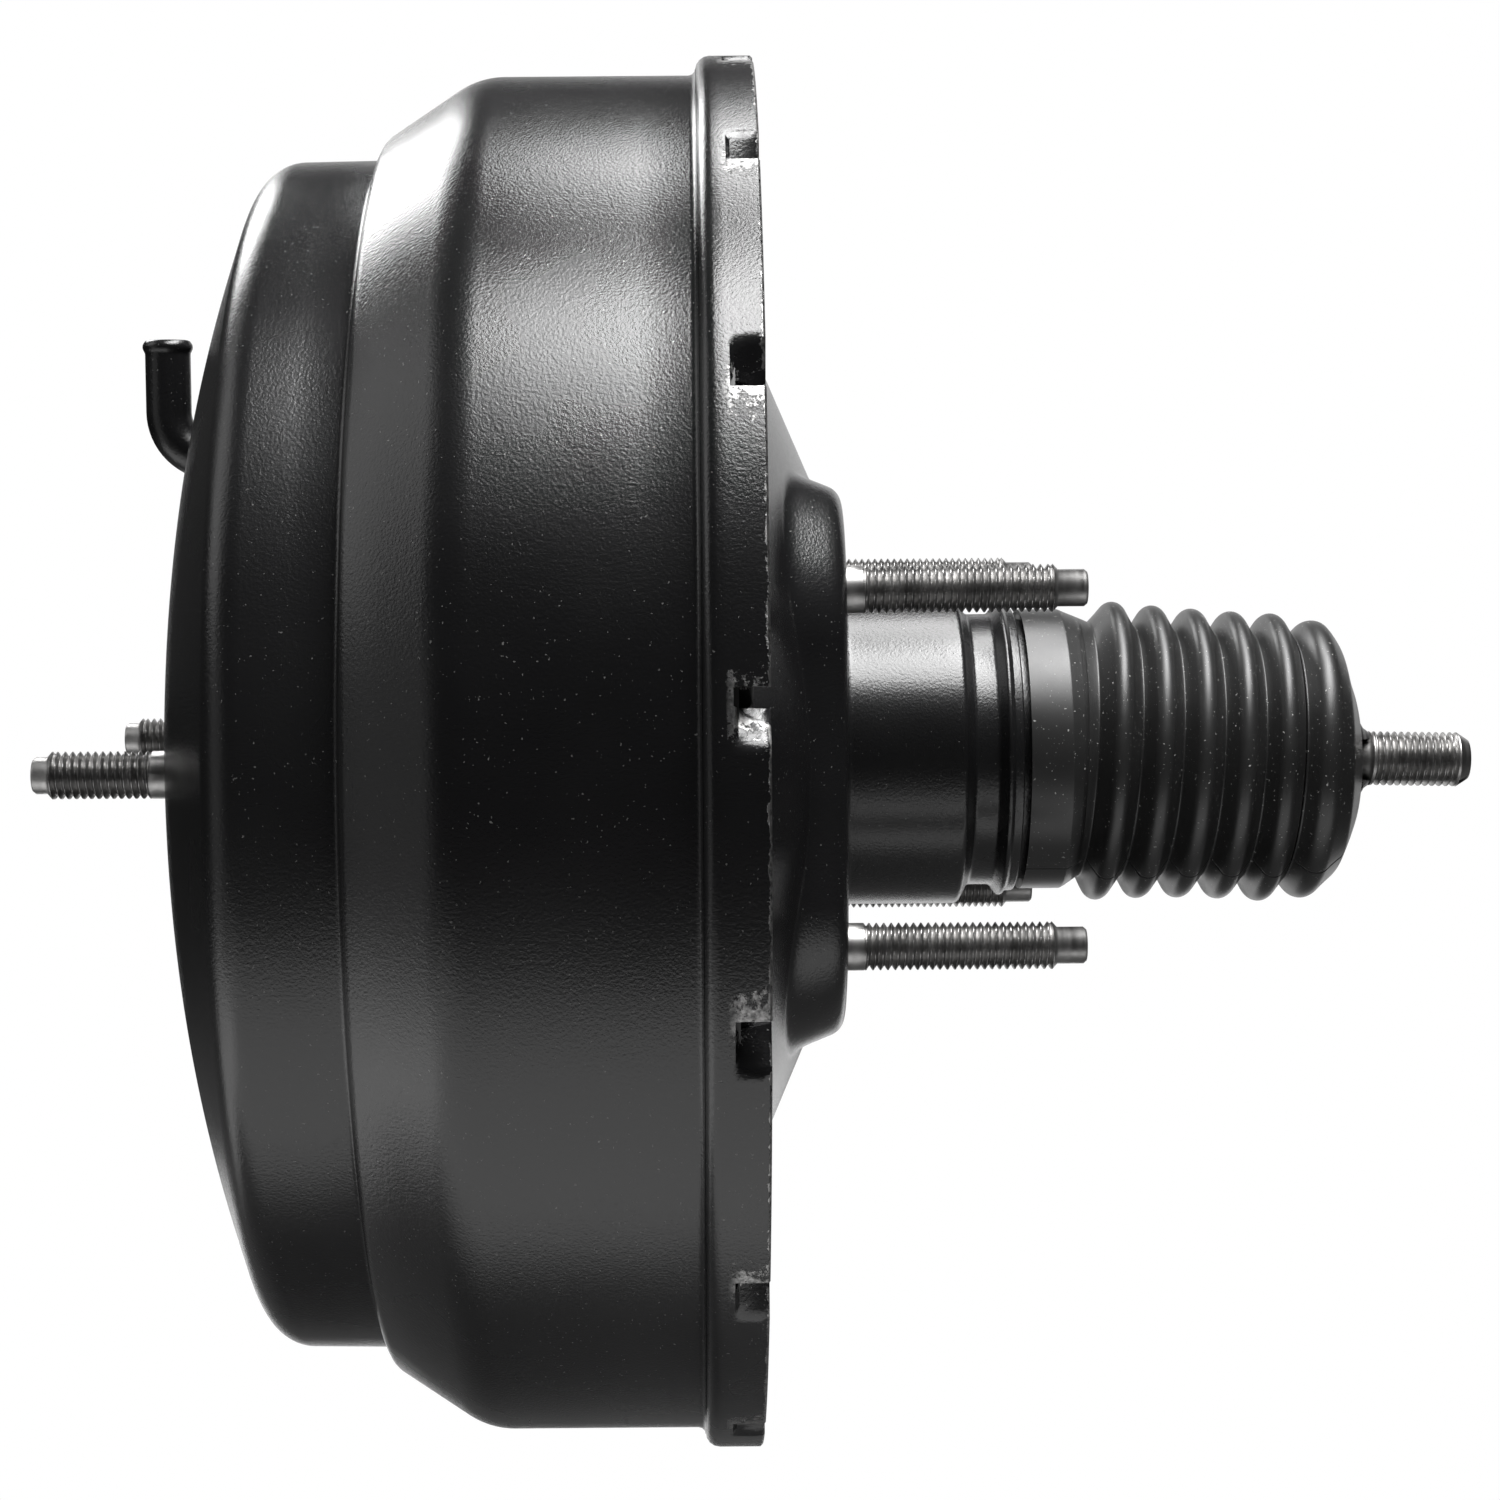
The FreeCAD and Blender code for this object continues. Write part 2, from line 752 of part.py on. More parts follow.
def neck_parts():
    bore = "tube_radius + running_gap"
    outer = "neck_radius - shell_wall"
    guide_end = "neck_guide_place + neck_guide_width"
    seal_end = f"{guide_end} + neck_seal_width"
    ring("neck_guide", "neck_guide_place", guide_end, bore, outer)
    turned(
        "neck_seal",
        [
            (guide_end, bore),
            (guide_end, outer),
            (seal_end, outer),
            (seal_end, f"{bore} + rubber_wall * 1.6"),
            (f"{guide_end} + neck_seal_width / 3", f"{bore} + rubber_wall"),
            (f"{seal_end} - rubber_wall / 2", bore),
        ],
    )
    ring("neck_seal_retainer", seal_end, f"{seal_end} + neck_retainer_width", f"{bore} + rubber_wall", outer)


def divider_seals():
    face = "-divider_face + body_gap"
    middle = f"{face} + divider_seal_width"
    bore = "hub_radius + running_gap"
    turned(
        "divider_seal",
        [
            (face, bore),
            (face, "divider_collar_radius"),
            (middle, "divider_collar_radius"),
            (middle, bore),
            (f"{middle} - divider_seal_width / 3", bore),
            (f"{middle} - divider_seal_width / 2", f"{bore} + rubber_wall / 2"),
            (f"{face} + divider_seal_width / 4", bore),
        ],
    )
    ring("divider_bush", middle, "-divider_face + divider_collar_length", bore, "divider_collar_radius")


# Divider: a deep dish held in the rim, its collar carrying the centre seal

def divider():
    return pressed(
        "divider",
        [
            ("-divider_flange_face - divider_wall", "rear_rim_radius"),
            ("-divider_flange_face - divider_wall", "large_radius - shell_wall - divider_gap", "shell_wall * 1.5"),
            (
                "-step_face + cone_length + divider_wall * 0.7",
                "large_radius - shell_wall - divider_gap",
                "large_bend - shell_wall",
            ),
            ("-divider_front", "shoulder_radius - divider_gap", "shell_wall"),
            ("-divider_front", "divider_ledge_radius", "divider_wall * 2"),
            ("-divider_face", "divider_face_radius", "divider_wall * 2"),
            ("-divider_face", "divider_collar_radius", "divider_wall * 2"),
            ("-divider_face + divider_collar_length", "divider_collar_radius"),
        ],
        "divider_wall",
        1,
    )


# Diaphragm plates, each with a lip, a ridge and a hub

def ridge(face, radius):
    half = "ridge_half_width"
    raised = f"{face} - ridge_rise"
    return [
        (face, f"{radius} + {half}", "plate_wall"),
        (raised, f"{radius} + {half} - ridge_rise * 1.5", "plate_wall"),
        (raised, f"{radius} - {half} + ridge_rise * 1.5", "plate_wall"),
        (face, f"{radius} - {half}", "plate_wall"),
    ]


def front_diaphragm_plate():
    face = "-front_plate_face"
    corners = [
        (f"{face} - front_plate_lip", "front_plate_rim"),
        (face, "front_plate_rim", "plate_wall * 1.8"),
        *ridge(face, "front_ridge_radius"),
        (face, "spigot_radius + running_gap"),
    ]
    return pressed("front_diaphragm_plate", corners, "plate_wall", -1)


def rear_diaphragm_plate():
    face = "-rear_plate_face"
    corners = [
        (f"{face} - rear_plate_lip", "rear_plate_rim"),
        (face, "rear_plate_rim", "plate_wall * 1.8"),
        *ridge(face, "rear_ridge_radius"),
        (face, "rear_plate_cone_radius", "plate_wall * 3"),
        ("-rear_plate_hub_face", "rear_plate_hub_radius", "plate_wall * 3"),
        ("-rear_plate_hub_face", "tube_radius + running_gap"),
    ]
    return pressed("rear_diaphragm_plate", corners, "plate_wall", -1)


# Rolling diaphragms, moulded with a bead that the shells trap

def front_diaphragm():
    bead_front = "-step_face + shell_wall + body_gap"
    bead_back = "-divider_front - body_gap"
    front = "-front_plate_face + body_gap"
    back = f"{front} + rubber_wall"
    ledge = "divider_ledge_radius - web_gap"
    bore = "hub_radius + running_gap"
    return turned(
        "front_diaphragm",
        [
            (bead_front, f"{ledge} - rubber_wall"),
            (bead_front, "shoulder_radius - shell_wall"),
            (bead_back, "shoulder_radius - shell_wall"),
            (bead_back, ledge),
            (back, "divider_face_radius - web_gap", "rubber_wall * 1.4"),
            (back, bore),
            (front, bore),
            (front, "divider_face_radius - web_gap - rubber_wall"),
        ],
    )


def rear_diaphragm():
    bead_front = "-divider_flange_face + running_gap * 2"
    bead_back = "-rear_rim_face - shell_wall - running_gap * 2"
    front = "-rear_plate_face + body_gap"
    back = f"{front} + rubber_wall"
    hub_front = "-rear_plate_hub_face + body_gap"
    hub_back = f"{hub_front} + rubber_wall"
    bore = "tube_radius + running_gap"
    leg = "rear_plate_rim + body_gap"
    leg_outer = f"{leg} + rubber_wall"
    wall_leg = f"{leg_outer} + fold_width"
    wall_outer = f"{wall_leg} + rubber_wall"
    tip = f"{front} - fold_tip"
    return turned(
        "rear_diaphragm",
        [
            (bead_front, "rear_rim_radius"),
            (bead_back, "rear_rim_radius"),
            (bead_back, wall_leg),
            (f"{tip} + rubber_wall", wall_leg, "fold_width * 0.48"),
            (f"{tip} + rubber_wall", leg_outer, "fold_width * 0.48"),
            (back, leg_outer, "rubber_wall"),
            (back, "rear_plate_cone_radius + rubber_wall / 2"),
            (hub_back, "rear_plate_hub_radius + rubber_wall / 2"),
            (hub_back, bore),
            (hub_front, bore),
            (hub_front, "rear_plate_hub_radius"),
            (front, "rear_plate_cone_radius"),
            (front, leg),
            (tip, leg, "fold_width * 0.9"),
            (tip, wall_outer, "fold_width * 0.9"),
            (bead_front, wall_outer),
        ],
    )


# Valve body: hub for both plates, reaction disc bore, plunger bore, vacuum seat and long rear tube

def valve_body():
    front_step = "-front_plate_face"
    rear_step = "-rear_plate_hub_face - plate_wall"
    seat = "-seat_floor + seat_height"
    bore = "plunger_radius + running_gap"
    body = turned(
        "valve_body",
        [
            ("-hub_front", "disc_radius"),
            ("-hub_front", "spigot_radius"),
            (front_step, "spigot_radius"),
            (front_step, "hub_radius"),
            (rear_step, "hub_radius"),
            (rear_step, "tube_radius"),
            ("tube_end", "tube_radius"),
            ("tube_end", "tube_bore_radius"),
            ("-seat_floor", "tube_bore_radius"),
            ("-seat_floor", "seat_radius + seat_width"),
            (seat, "seat_radius + seat_width / 2"),
            (seat, "seat_radius - seat_width / 2"),
            ("-seat_floor", "seat_radius - seat_width"),
            ("-seat_floor", bore),
            ("-disc_face", bore),
            ("-disc_face", "disc_radius"),
        ],
    )
    half = "key_half_width + running_gap"
    slot = [
        (f"-({half})", "-hub_radius * 1.1"),
        (half, "-hub_radius * 1.1"),
        (half, "key_top + running_gap"),
        (f"-({half})", "key_top + running_gap"),
    ]
    thick = "key_thickness / 2 + running_gap"
    prism(body, "Pocket", slot, f"-key_place - ({thick})", f"-key_place + {thick}")
    return body


def stop_key():
    """A flat fork that straddles the plunger's neck and stops it."""
    body = new_body("stop_key")
    fork = "plunger_neck_radius + body_gap"
    corners = [
        ("-key_half_width", "-key_reach"),
        ("key_half_width", "-key_reach"),
        ("key_half_width", "key_top"),
        (fork, "key_top"),
        (fork, f"-({fork})", f"({fork}) * 0.98"),
        (f"-({fork})", f"-({fork})", f"({fork}) * 0.98"),
        (f"-({fork})", "key_top"),
        ("-key_half_width", "key_top"),
    ]
    prism(body, "Pad", corners, "-key_place - key_thickness / 2", "-key_place + key_thickness / 2")
    return body


def plunger():
    groove_front = "-key_place - key_thickness / 2 - body_gap"
    groove_back = "-key_place + key_thickness / 2 + valve_travel + body_gap"
    seat_back = "-seat_floor + seat_height - running_gap * 2"
    lip_back = "-ball_place + socket_lip_place - 0.2"
    socket = "ball_radius + running_gap"
    return turned(
        "valve_plunger",
        [
            ("-plunger_front", "0"),
            ("-plunger_front", "plunger_radius"),
            (groove_front, "plunger_radius"),
            (groove_front, "plunger_neck_radius"),
            (groove_back, "plunger_neck_radius"),
            (groove_back, "plunger_radius"),
            (f"{seat_back} - plunger_seat_width", "plunger_radius"),
            (f"{seat_back} - plunger_seat_width", "plunger_seat_radius"),
            (seat_back, "plunger_seat_radius"),
            (seat_back, "socket_mouth_radius"),
            (lip_back, "socket_mouth_radius"),
            (lip_back, "socket_lip_radius"),
            (f"{lip_back} - 1", "socket_lip_radius"),
            (f"{lip_back} - 1", socket),
            (f"-ball_place - ({socket})", socket, f"({socket}) * 0.99"),
            (f"-ball_place - ({socket})", "0"),
        ],
    )


# Reaction disc, output rod, its adjusting screw and its retainer

def output_parts():
    disc_back = "-disc_face - running_gap"
    disc_front = f"{disc_back} - disc_thickness"
    base_front = f"{disc_front} - rod_base_thickness"
    rod_front = f"{base_front} - output_length"
    fit = "disc_radius - running_gap * 4"
    ring("reaction_disc", disc_front, disc_back, "0", fit)
    bore = "output_bore_radius"
    turned(
        "output_rod",
        [
            (disc_front, "0"),
            (disc_front, fit),
            (base_front, fit),
            (base_front, "output_radius * 1.5"),
            (f"{base_front} - output_radius", "output_radius"),
            (rod_front, "output_radius"),
            (rod_front, bore),
            (f"{rod_front} + output_bore_depth", bore),
            (f"{rod_front} + output_bore_depth", "0"),
        ],
    )
    tip = f"{rod_front} - output_tip_length"
    turned(
        "output_screw",
        [
            (tip, "0"),
            (tip, "output_tip_radius", "output_tip_radius * 0.8"),
            (rod_front, "output_tip_radius"),
            (rod_front, f"{bore} - running_gap"),
            (f"{rod_front} + output_bore_depth - 1", f"{bore} - running_gap"),
            (f"{rod_front} + output_bore_depth - 1", "0"),
        ],
    )
    ring(
        "output_rod_retainer", f"{base_front} - plate_wall", base_front,
        "output_radius * 1.5 + body_gap", "disc_radius - running_gap",
    )


def plate_retainers():
    front = "-front_plate_face - plate_wall"
    ring(
        "front_plate_retainer", f"{front} - plate_wall", front,
        "spigot_radius + running_gap", "spigot_radius + retainer_width",
    )
    back = "-rear_plate_hub_face + body_gap + rubber_wall"
    ring(
        "rear_plate_retainer", back, f"{back} + plate_wall",
        "tube_radius + running_gap", "tube_radius + retainer_width * 2",
    )


# Poppet valve, its retainer and the air filter in the rear tube

def valve_parts():
    face = "-seat_floor + seat_height + running_gap"
    bore = "poppet_bore_radius"
    tube = "poppet_bore_radius + poppet_tube_wall"
    outer = "tube_bore_radius - running_gap"
    end = f"{face} + poppet_length"
    turned(
        "poppet_valve",
        [
            (face, bore),
            (face, "poppet_face_radius"),
            (f"{face} + poppet_face_width", "poppet_face_radius"),
            (f"{face} + poppet_face_width", tube),
            (f"{end} - poppet_bead_width", tube),
            (f"{end} - poppet_bead_width", outer),
            (end, outer),
            (end, bore),
        ],
    )
    turned(
        "poppet_retainer",
        [
            (end, f"{bore} + plate_wall / 2"),
            (end, outer),
            (f"{end} + poppet_sleeve", outer),
            (f"{end} + poppet_sleeve", f"{outer} - plate_wall"),
            (f"{end} + plate_wall", f"{outer} - plate_wall"),
            (f"{end} + plate_wall", f"{bore} + plate_wall / 2"),
        ],
    )
    ring("air_filter", "tube_end - filter_length", "tube_end", "filter_bore_radius", outer)


# Springs

def springs():
    plate = "-front_face + shell_wall + front_plate_wall"
    spring(
        "return_spring", "return_wire", "return_turns",
        f"{plate} + return_wire / 2 + body_gap",
        "-front_plate_face - plate_wall - return_wire / 2 - body_gap",
        "return_radius", "return_radius - return_wire / 5",
    )
    seat = "-seat_floor + seat_height + running_gap"
    spring(
        "poppet_spring", "poppet_wire", "poppet_turns",
        f"{seat} + poppet_face_width + poppet_wire / 2 + running_gap",
        f"{seat} + poppet_length - poppet_bead_width - poppet_wire / 2 - running_gap",
        "poppet_spring_radius", "poppet_spring_radius + poppet_wire / 2",
    )
    spring(
        "rod_spring", "rod_wire", "rod_turns",
        f"{seat} + poppet_length + plate_wall + rod_wire / 2 + running_gap",
        "-ball_place + rod_collar_place - rod_wire / 2 - body_gap",
        "rod_spring_radius", "rod_spring_end_radius",
    )


# Input rod, lying at its droop about the ball's centre

def input_rod():
    body = new_body("input_rod")
    ball = body.newObject("PartDesign::AdditiveSphere", "input_rod_ball")
    ball.AttachmentSupport = [(origin_plane(body, "XZ_Plane"), "")]
    ball.MapMode = "FlatFace"
    ball.setExpression("AttachmentOffset.Base.x", cells("-ball_place"))
    ball.setExpression("Radius", cells("ball_radius"))
    corners = [
        ("ball_radius / 2", "0"),
        ("ball_radius / 2", "rod_neck_radius"),
        ("ball_radius * 2", "rod_neck_radius"),
        ("ball_radius * 2 + 1", "rod_radius"),
        ("rod_collar_place", "rod_radius"),
        ("rod_collar_place", "rod_collar_radius"),
        ("rod_collar_place + rod_collar_width", "rod_collar_radius"),
        ("rod_collar_place + rod_collar_width", "rod_radius"),
        ("rod_flat_place", "rod_radius"),
        ("rod_flat_place + 0.7", "rod_thread_radius"),
        ("rod_end - 2", "rod_thread_radius"),
        ("rod_end", "rod_thread_radius - 1.3"),
        ("rod_end", "0"),
    ]
    add_turned(body, corners, offset=("-ball_place", "0", "0"), turn="-rod_droop")
    return body


# Dust boot: cuff on the neck, folds in a loop, closed end and a collar round the rod

def dust_boot():
    corners = [
        ("boot_cuff_start", "boot_cuff_radius"),
        ("boot_cuff_end", "boot_cuff_radius", "boot_wall"),
        ("boot_crest_place - boot_pitch / 2", "boot_root_radius", "boot_wall * 0.6"),
    ]
    for fold in range(int(SIZES["boot_folds"])):
        crest = f"boot_crest_place + boot_pitch * {fold}"
        last = fold == SIZES["boot_folds"] - 1
        taper = f"boot_taper * {fold * (2 if last else 1)}"
        corners.append((crest, f"boot_crest_radius + boot_wall / 3 - {taper}", "boot_wall * 1.3"))
        if not last:
            corners.append((f"{crest} + boot_pitch / 2", f"boot_root_radius - {taper} / 2", "boot_wall * 0.6"))
    corners += [
        ("boot_end_face - boot_wall", "boot_collar_radius * 2.4", "boot_wall * 3"),
        ("boot_end_face", "boot_collar_radius"),
        ("boot_end_face", "rod_radius * 0.75"),
    ]
    body = pressed("dust_boot", corners, "boot_wall", -1)
    bore = "rod_radius + running_gap"
    collar_start = "boot_end_face + ball_place - boot_wall"
    pivot = ("-ball_place", "0", "0")
    collar = [
        (collar_start, bore),
        (collar_start, "boot_collar_radius"),
        ("boot_end_face + ball_place + boot_wall / 2", "boot_collar_radius"),
        ("boot_collar_end - boot_wall / 2", "rod_thread_radius + boot_wall / 2"),
        ("boot_collar_end - boot_wall / 2", bore),
    ]
    add_turned(body, collar, offset=pivot, turn="-rod_droop")
    through = [
        (f"{collar_start} - boot_wall * 2", "0"),
        (f"{collar_start} - boot_wall * 2", bore),
        ("rod_flat_place", bore),
        ("rod_flat_place + 0.7", "rod_thread_radius + running_gap"),
        ("boot_collar_end + boot_wall", "rod_thread_radius + running_gap"),
        ("boot_collar_end + boot_wall", "0"),
    ]
    add_turned(body, through, "Groove", offset=pivot, turn="-rod_droop")
    return body


# Vacuum pipe: an elbow brazed to the dome

def vacuum_pipe():
    body = new_body("vacuum_pipe")
    side = "-pipe_side"
    outlet = "-front_face - pipe_reach"
    path = new_sketch(body, offset=("0", "0", side))
    outline = Outline(path)
    corners = [
        ("-front_face + dome_rise + shell_wall", "pipe_height"),
        (outlet, "pipe_height", "pipe_bend"),
        (outlet, "pipe_top"),
    ]
    points, marks, bends = marked(outline, corners)
    bend = number("pipe_bend")
    inner, turn_point, top = points
    centre = turn_point + flat(bend, bend)
    run = outline.add(Part.LineSegment(inner, turn_point + flat(bend, 0)))
    circle = Part.Circle(centre, FreeCAD.Vector(0, 0, 1), bend)
    arc = outline.add(Part.ArcOfCircle(circle, math.pi, math.pi * 1.5))
    rise = outline.add(Part.LineSegment(turn_point + flat(0, bend), top))
    outline.rule("Coincident", run, 1, marks[0], 1)
    outline.rule("Coincident", rise, 2, marks[2], 1)
    outline.rule("PointOnObject", marks[1], 1, run)
    outline.rule("PointOnObject", marks[1], 1, rise)
    outline.rule("Tangent", run, 2, arc, 2)
    outline.rule("Tangent", rise, 1, arc, 1)
    outline.rule("Radius", arc, bend, size="pipe_bend")
    outline.close()
    section = new_sketch(body, "YZ_Plane", offset=("0", "0", corners[0][0]))
    draw_circles(
        section,
        [("pipe_side", "pipe_height", "pipe_radius"), ("pipe_side", "pipe_height", "pipe_bore_radius")],
    )
    pipe = body.newObject("PartDesign::AdditivePipe", "vacuum_pipe_bend")
    pipe.Profile = section
    pipe.Spine = (path, ["Edge1", "Edge2", "Edge3"])
    pipe.Transition = "Transformed"
    collar = [
        ("-front_face + dome_rise + shell_wall / 2", "pipe_radius - running_gap"),
        ("-front_face + dome_rise + shell_wall / 2", "pipe_collar_radius"),
        ("-front_face - pipe_collar_length / 4", "pipe_collar_radius"),
        ("-front_face - pipe_collar_length / 2", "pipe_collar_radius - 1"),
        ("-front_face - pipe_collar_length / 2", "pipe_radius - running_gap"),
    ]
    add_turned(body, collar, offset=("0", "pipe_height", side))
    return body


front_shell()
front_plate()
divider()
rear_shell()
studs(
    "rear_studs", "0", "1", "shell_wall", "rear_stud_thread_end", "rear_stud_end",
    "rear_stud_half_width", "rear_stud_half_height", ("XZ_Plane", "XY_Plane"),
)
studs(
    "front_studs", "-front_face", "-1", "shell_wall - front_plate_wall", "front_stud_thread_end",
    "front_stud_end", "front_stud_half_width", "0", ("XZ_Plane",),
)
vacuum_pipe()
rod_seal()
neck_parts()
divider_seals()
front_diaphragm_plate()
front_diaphragm()
rear_diaphragm_plate()
rear_diaphragm()
plate_retainers()
valve_body()
stop_key()
plunger()
output_parts()
valve_parts()
input_rod()
springs()
dust_boot()

doc.recompute()

broken = [thing.Name for thing in doc.Objects if "Invalid" in thing.State or "Error" in thing.State]
for label, body in parts.items():
    if body.Shape.isNull() or not body.Shape.isValid():
        broken.append(label)
if broken:
    raise RuntimeError(f"not built: {broken}")
os.makedirs("parts", exist_ok=True)
for label, body in parts.items():
    body.Shape.exportStep(f"parts/{label}.step")
    print(label, len(body.Shape.Solids), round(body.Shape.Volume))
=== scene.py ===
import json
import math

import bmesh
import bpy
from mathutils import Matrix, Vector


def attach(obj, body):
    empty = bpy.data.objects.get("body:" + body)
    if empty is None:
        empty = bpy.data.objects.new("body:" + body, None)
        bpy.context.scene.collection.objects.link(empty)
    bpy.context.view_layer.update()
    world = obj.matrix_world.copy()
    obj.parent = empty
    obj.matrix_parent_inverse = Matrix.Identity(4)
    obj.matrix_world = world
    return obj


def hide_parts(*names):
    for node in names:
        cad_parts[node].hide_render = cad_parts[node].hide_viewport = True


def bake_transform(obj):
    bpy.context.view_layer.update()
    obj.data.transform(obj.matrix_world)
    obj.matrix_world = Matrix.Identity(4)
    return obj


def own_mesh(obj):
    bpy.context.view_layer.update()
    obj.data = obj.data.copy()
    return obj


# Looks of the brake booster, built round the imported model.
# Lengths are written in millimetres and turned into metres when a mesh is made.
# The studio's lights and camera are written in metres.
# +X runs to the pedal, +Z is up, and turned shapes go round the X axis.

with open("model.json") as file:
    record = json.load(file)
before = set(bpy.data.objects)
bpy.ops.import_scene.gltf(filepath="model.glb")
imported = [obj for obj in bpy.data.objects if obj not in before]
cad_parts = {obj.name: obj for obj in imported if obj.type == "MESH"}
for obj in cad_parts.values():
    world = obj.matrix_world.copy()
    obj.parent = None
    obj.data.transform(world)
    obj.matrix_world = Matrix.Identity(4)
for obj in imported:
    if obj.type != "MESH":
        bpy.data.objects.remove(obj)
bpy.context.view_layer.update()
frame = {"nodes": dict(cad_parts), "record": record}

MM = 0.001
BOX_FACES = ((0, 1, 3, 2), (4, 6, 7, 5), (0, 4, 5, 1), (2, 3, 7, 6), (0, 2, 6, 4), (1, 5, 7, 3))


# Profiles

def rounded(corners, step=0.4):
    """The corners (x, r[, bend]) as points, each bend as an arc."""
    points = []
    last = len(corners) - 1
    for i, corner in enumerate(corners):
        here = Vector(corner[:2])
        bend = corner[2] if len(corner) > 2 else 0
        if not bend or i in (0, last):
            points.append(here)
            continue
        come = (here - Vector(corners[i - 1][:2])).normalized()
        go = (Vector(corners[i + 1][:2]) - here).normalized()
        turn = come.angle_signed(go)
        if abs(turn) < 1e-4:
            points.append(here)
            continue
        reach = bend * math.tan(abs(turn) / 2)
        side = Vector((come.y, -come.x)) if turn > 0 else Vector((-come.y, come.x))
        centre = here - come * reach + side * bend
        arm = -side * bend
        count = max(3, min(24, int(bend * abs(turn) / step)))
        for k in range(count + 1):
            swing = Matrix.Rotation(-turn * k / count, 2)
            points.append(centre + swing @ arm)
    return points


def offset(corners, wall, side):
    """The run's other face, a wall away; side 1 is left of the run, -1 right."""
    places = [Vector(c[:2]) for c in corners]
    ways = [(b - a).normalized() for a, b in zip(places, places[1:])]
    sides = [Vector((-w.y, w.x)) * side for w in ways]
    moved = [tuple(places[0] + sides[0] * wall)]
    for i in range(1, len(places) - 1):
        middle = (sides[i - 1] + sides[i]).normalized()
        spot = places[i] + middle * (wall / middle.dot(sides[i]))
        bend = corners[i][2] if len(corners[i]) > 2 else 0
        cross = ways[i - 1].x * ways[i].y - ways[i - 1].y * ways[i].x
        bend = bend - wall if cross * side > 0 else bend + wall
        moved.append((spot.x, spot.y, max(bend, 0)))
    moved.append(tuple(places[-1] + sides[-1] * wall))
    return moved


def split_long(points, limit):
    """The same run with no piece longer than the limit."""
    out = [points[0]]
    for a, b in zip(points, points[1:]):
        count = max(1, math.ceil((b - a).length / limit))
        out += [a.lerp(b, k / count) for k in range(1, count + 1)]
    return out


# Meshes

def make(name, vertices, faces, sharp=32):
    """A smooth-shaded piece from points in millimetres, with edges sharp from an angle in degrees."""
    mesh = bpy.data.meshes.new(name)
    mesh.from_pydata([Vector(v) * MM for v in vertices], [], faces)
    mesh.validate()
    mesh.shade_smooth()
    mesh.set_sharp_from_angle(angle=math.radians(sharp))
    piece = bpy.data.objects.new(name, mesh)
    bpy.context.scene.collection.objects.link(piece)
    return piece


def lathe(name, points, steps=256, closed=True, shape=None, start=0.0, sharp=32):
    """Points (x, r) turned about the X axis; shape(x, r, angle) may move each vertex."""
    on_axis = [abs(p[1]) < 1e-6 for p in points]
    vertices = []
    rows = []
    for p, axial in zip(points, on_axis):
        if axial:
            rows.append([len(vertices)] * steps)
            vertices.append((p[0], 0, 0))
            continue
        row = []
        for k in range(steps):
            angle = start + 2 * math.pi * k / steps
            x, r = (p[0], p[1]) if shape is None else shape(p[0], p[1], angle)
            row.append(len(vertices))
            vertices.append((x, -r * math.cos(angle), r * math.sin(angle)))
        rows.append(row)
    faces = []
    pairs = list(zip(rows, rows[1:]))
    if closed:
        pairs.append((rows[-1], rows[0]))
    for low, high in pairs:
        for k in range(steps):
            n = (k + 1) % steps
            face = [low[k], low[n], high[n], high[k]]
            face = [v for i, v in enumerate(face) if v != face[i - 1]]
            if len(set(face)) > 2:
                faces.append(face)
    return make(name, vertices, faces, sharp)


def recalc(piece):
    """Turns every face of a piece outwards."""
    work = bmesh.new()
    work.from_mesh(piece.data)
    bmesh.ops.recalc_face_normals(work, faces=work.faces)
    work.to_mesh(piece.data)
    work.free()
    return piece


# Rolled threads: the flank and the root's flat are shares of the pitch

THREAD_PITCH = 1.25
THREAD_DEPTH = 0.61 * THREAD_PITCH
THREAD_FLANK = 0.40
THREAD_ROOT = 0.12
THREAD_STEPS = 12
ROD_STEPS = 72


def screw(start, end, major, lead_in):
    """Radius of a rolled thread at a place along its axis and an angle round it."""

    def radius(x, angle):
        turn = (x - start) / THREAD_PITCH - angle / (2 * math.pi)
        phase = turn - math.floor(turn)
        rise = min(1.0, max(0.0, (0.5 - abs(phase - 0.5)) / THREAD_FLANK - THREAD_ROOT))
        edge = min(1.0, (x - start) / lead_in, (end - x) / lead_in)
        return major - THREAD_DEPTH * (1 - rise) * max(edge, 0.0)

    return radius


def threaded(name, points, start, end, major, lead_in=0.6):
    """A turned rod whose straight run between start and end carries a thread."""
    radius = screw(start, end, major, lead_in)
    fine = []
    for a, b in zip(points, points[1:]):
        fine.append(a)
        if min(a.x, b.x) <= start + 0.01 and max(a.x, b.x) >= end - 0.01:
            count = int((end - start) / THREAD_PITCH * THREAD_STEPS)
            low, high = (start, end) if a.x < b.x else (end, start)
            fine += [Vector((low + (high - low) * k / count, major)) for k in range(count + 1)]
    fine.append(points[-1])

    def shape(x, r, angle):
        if start <= x <= end and r > major - 0.02:
            return x, min(r, radius(x, angle))
        return x, r

    return lathe(name, fine, ROD_STEPS, closed=False, shape=shape, sharp=50)


# Materials

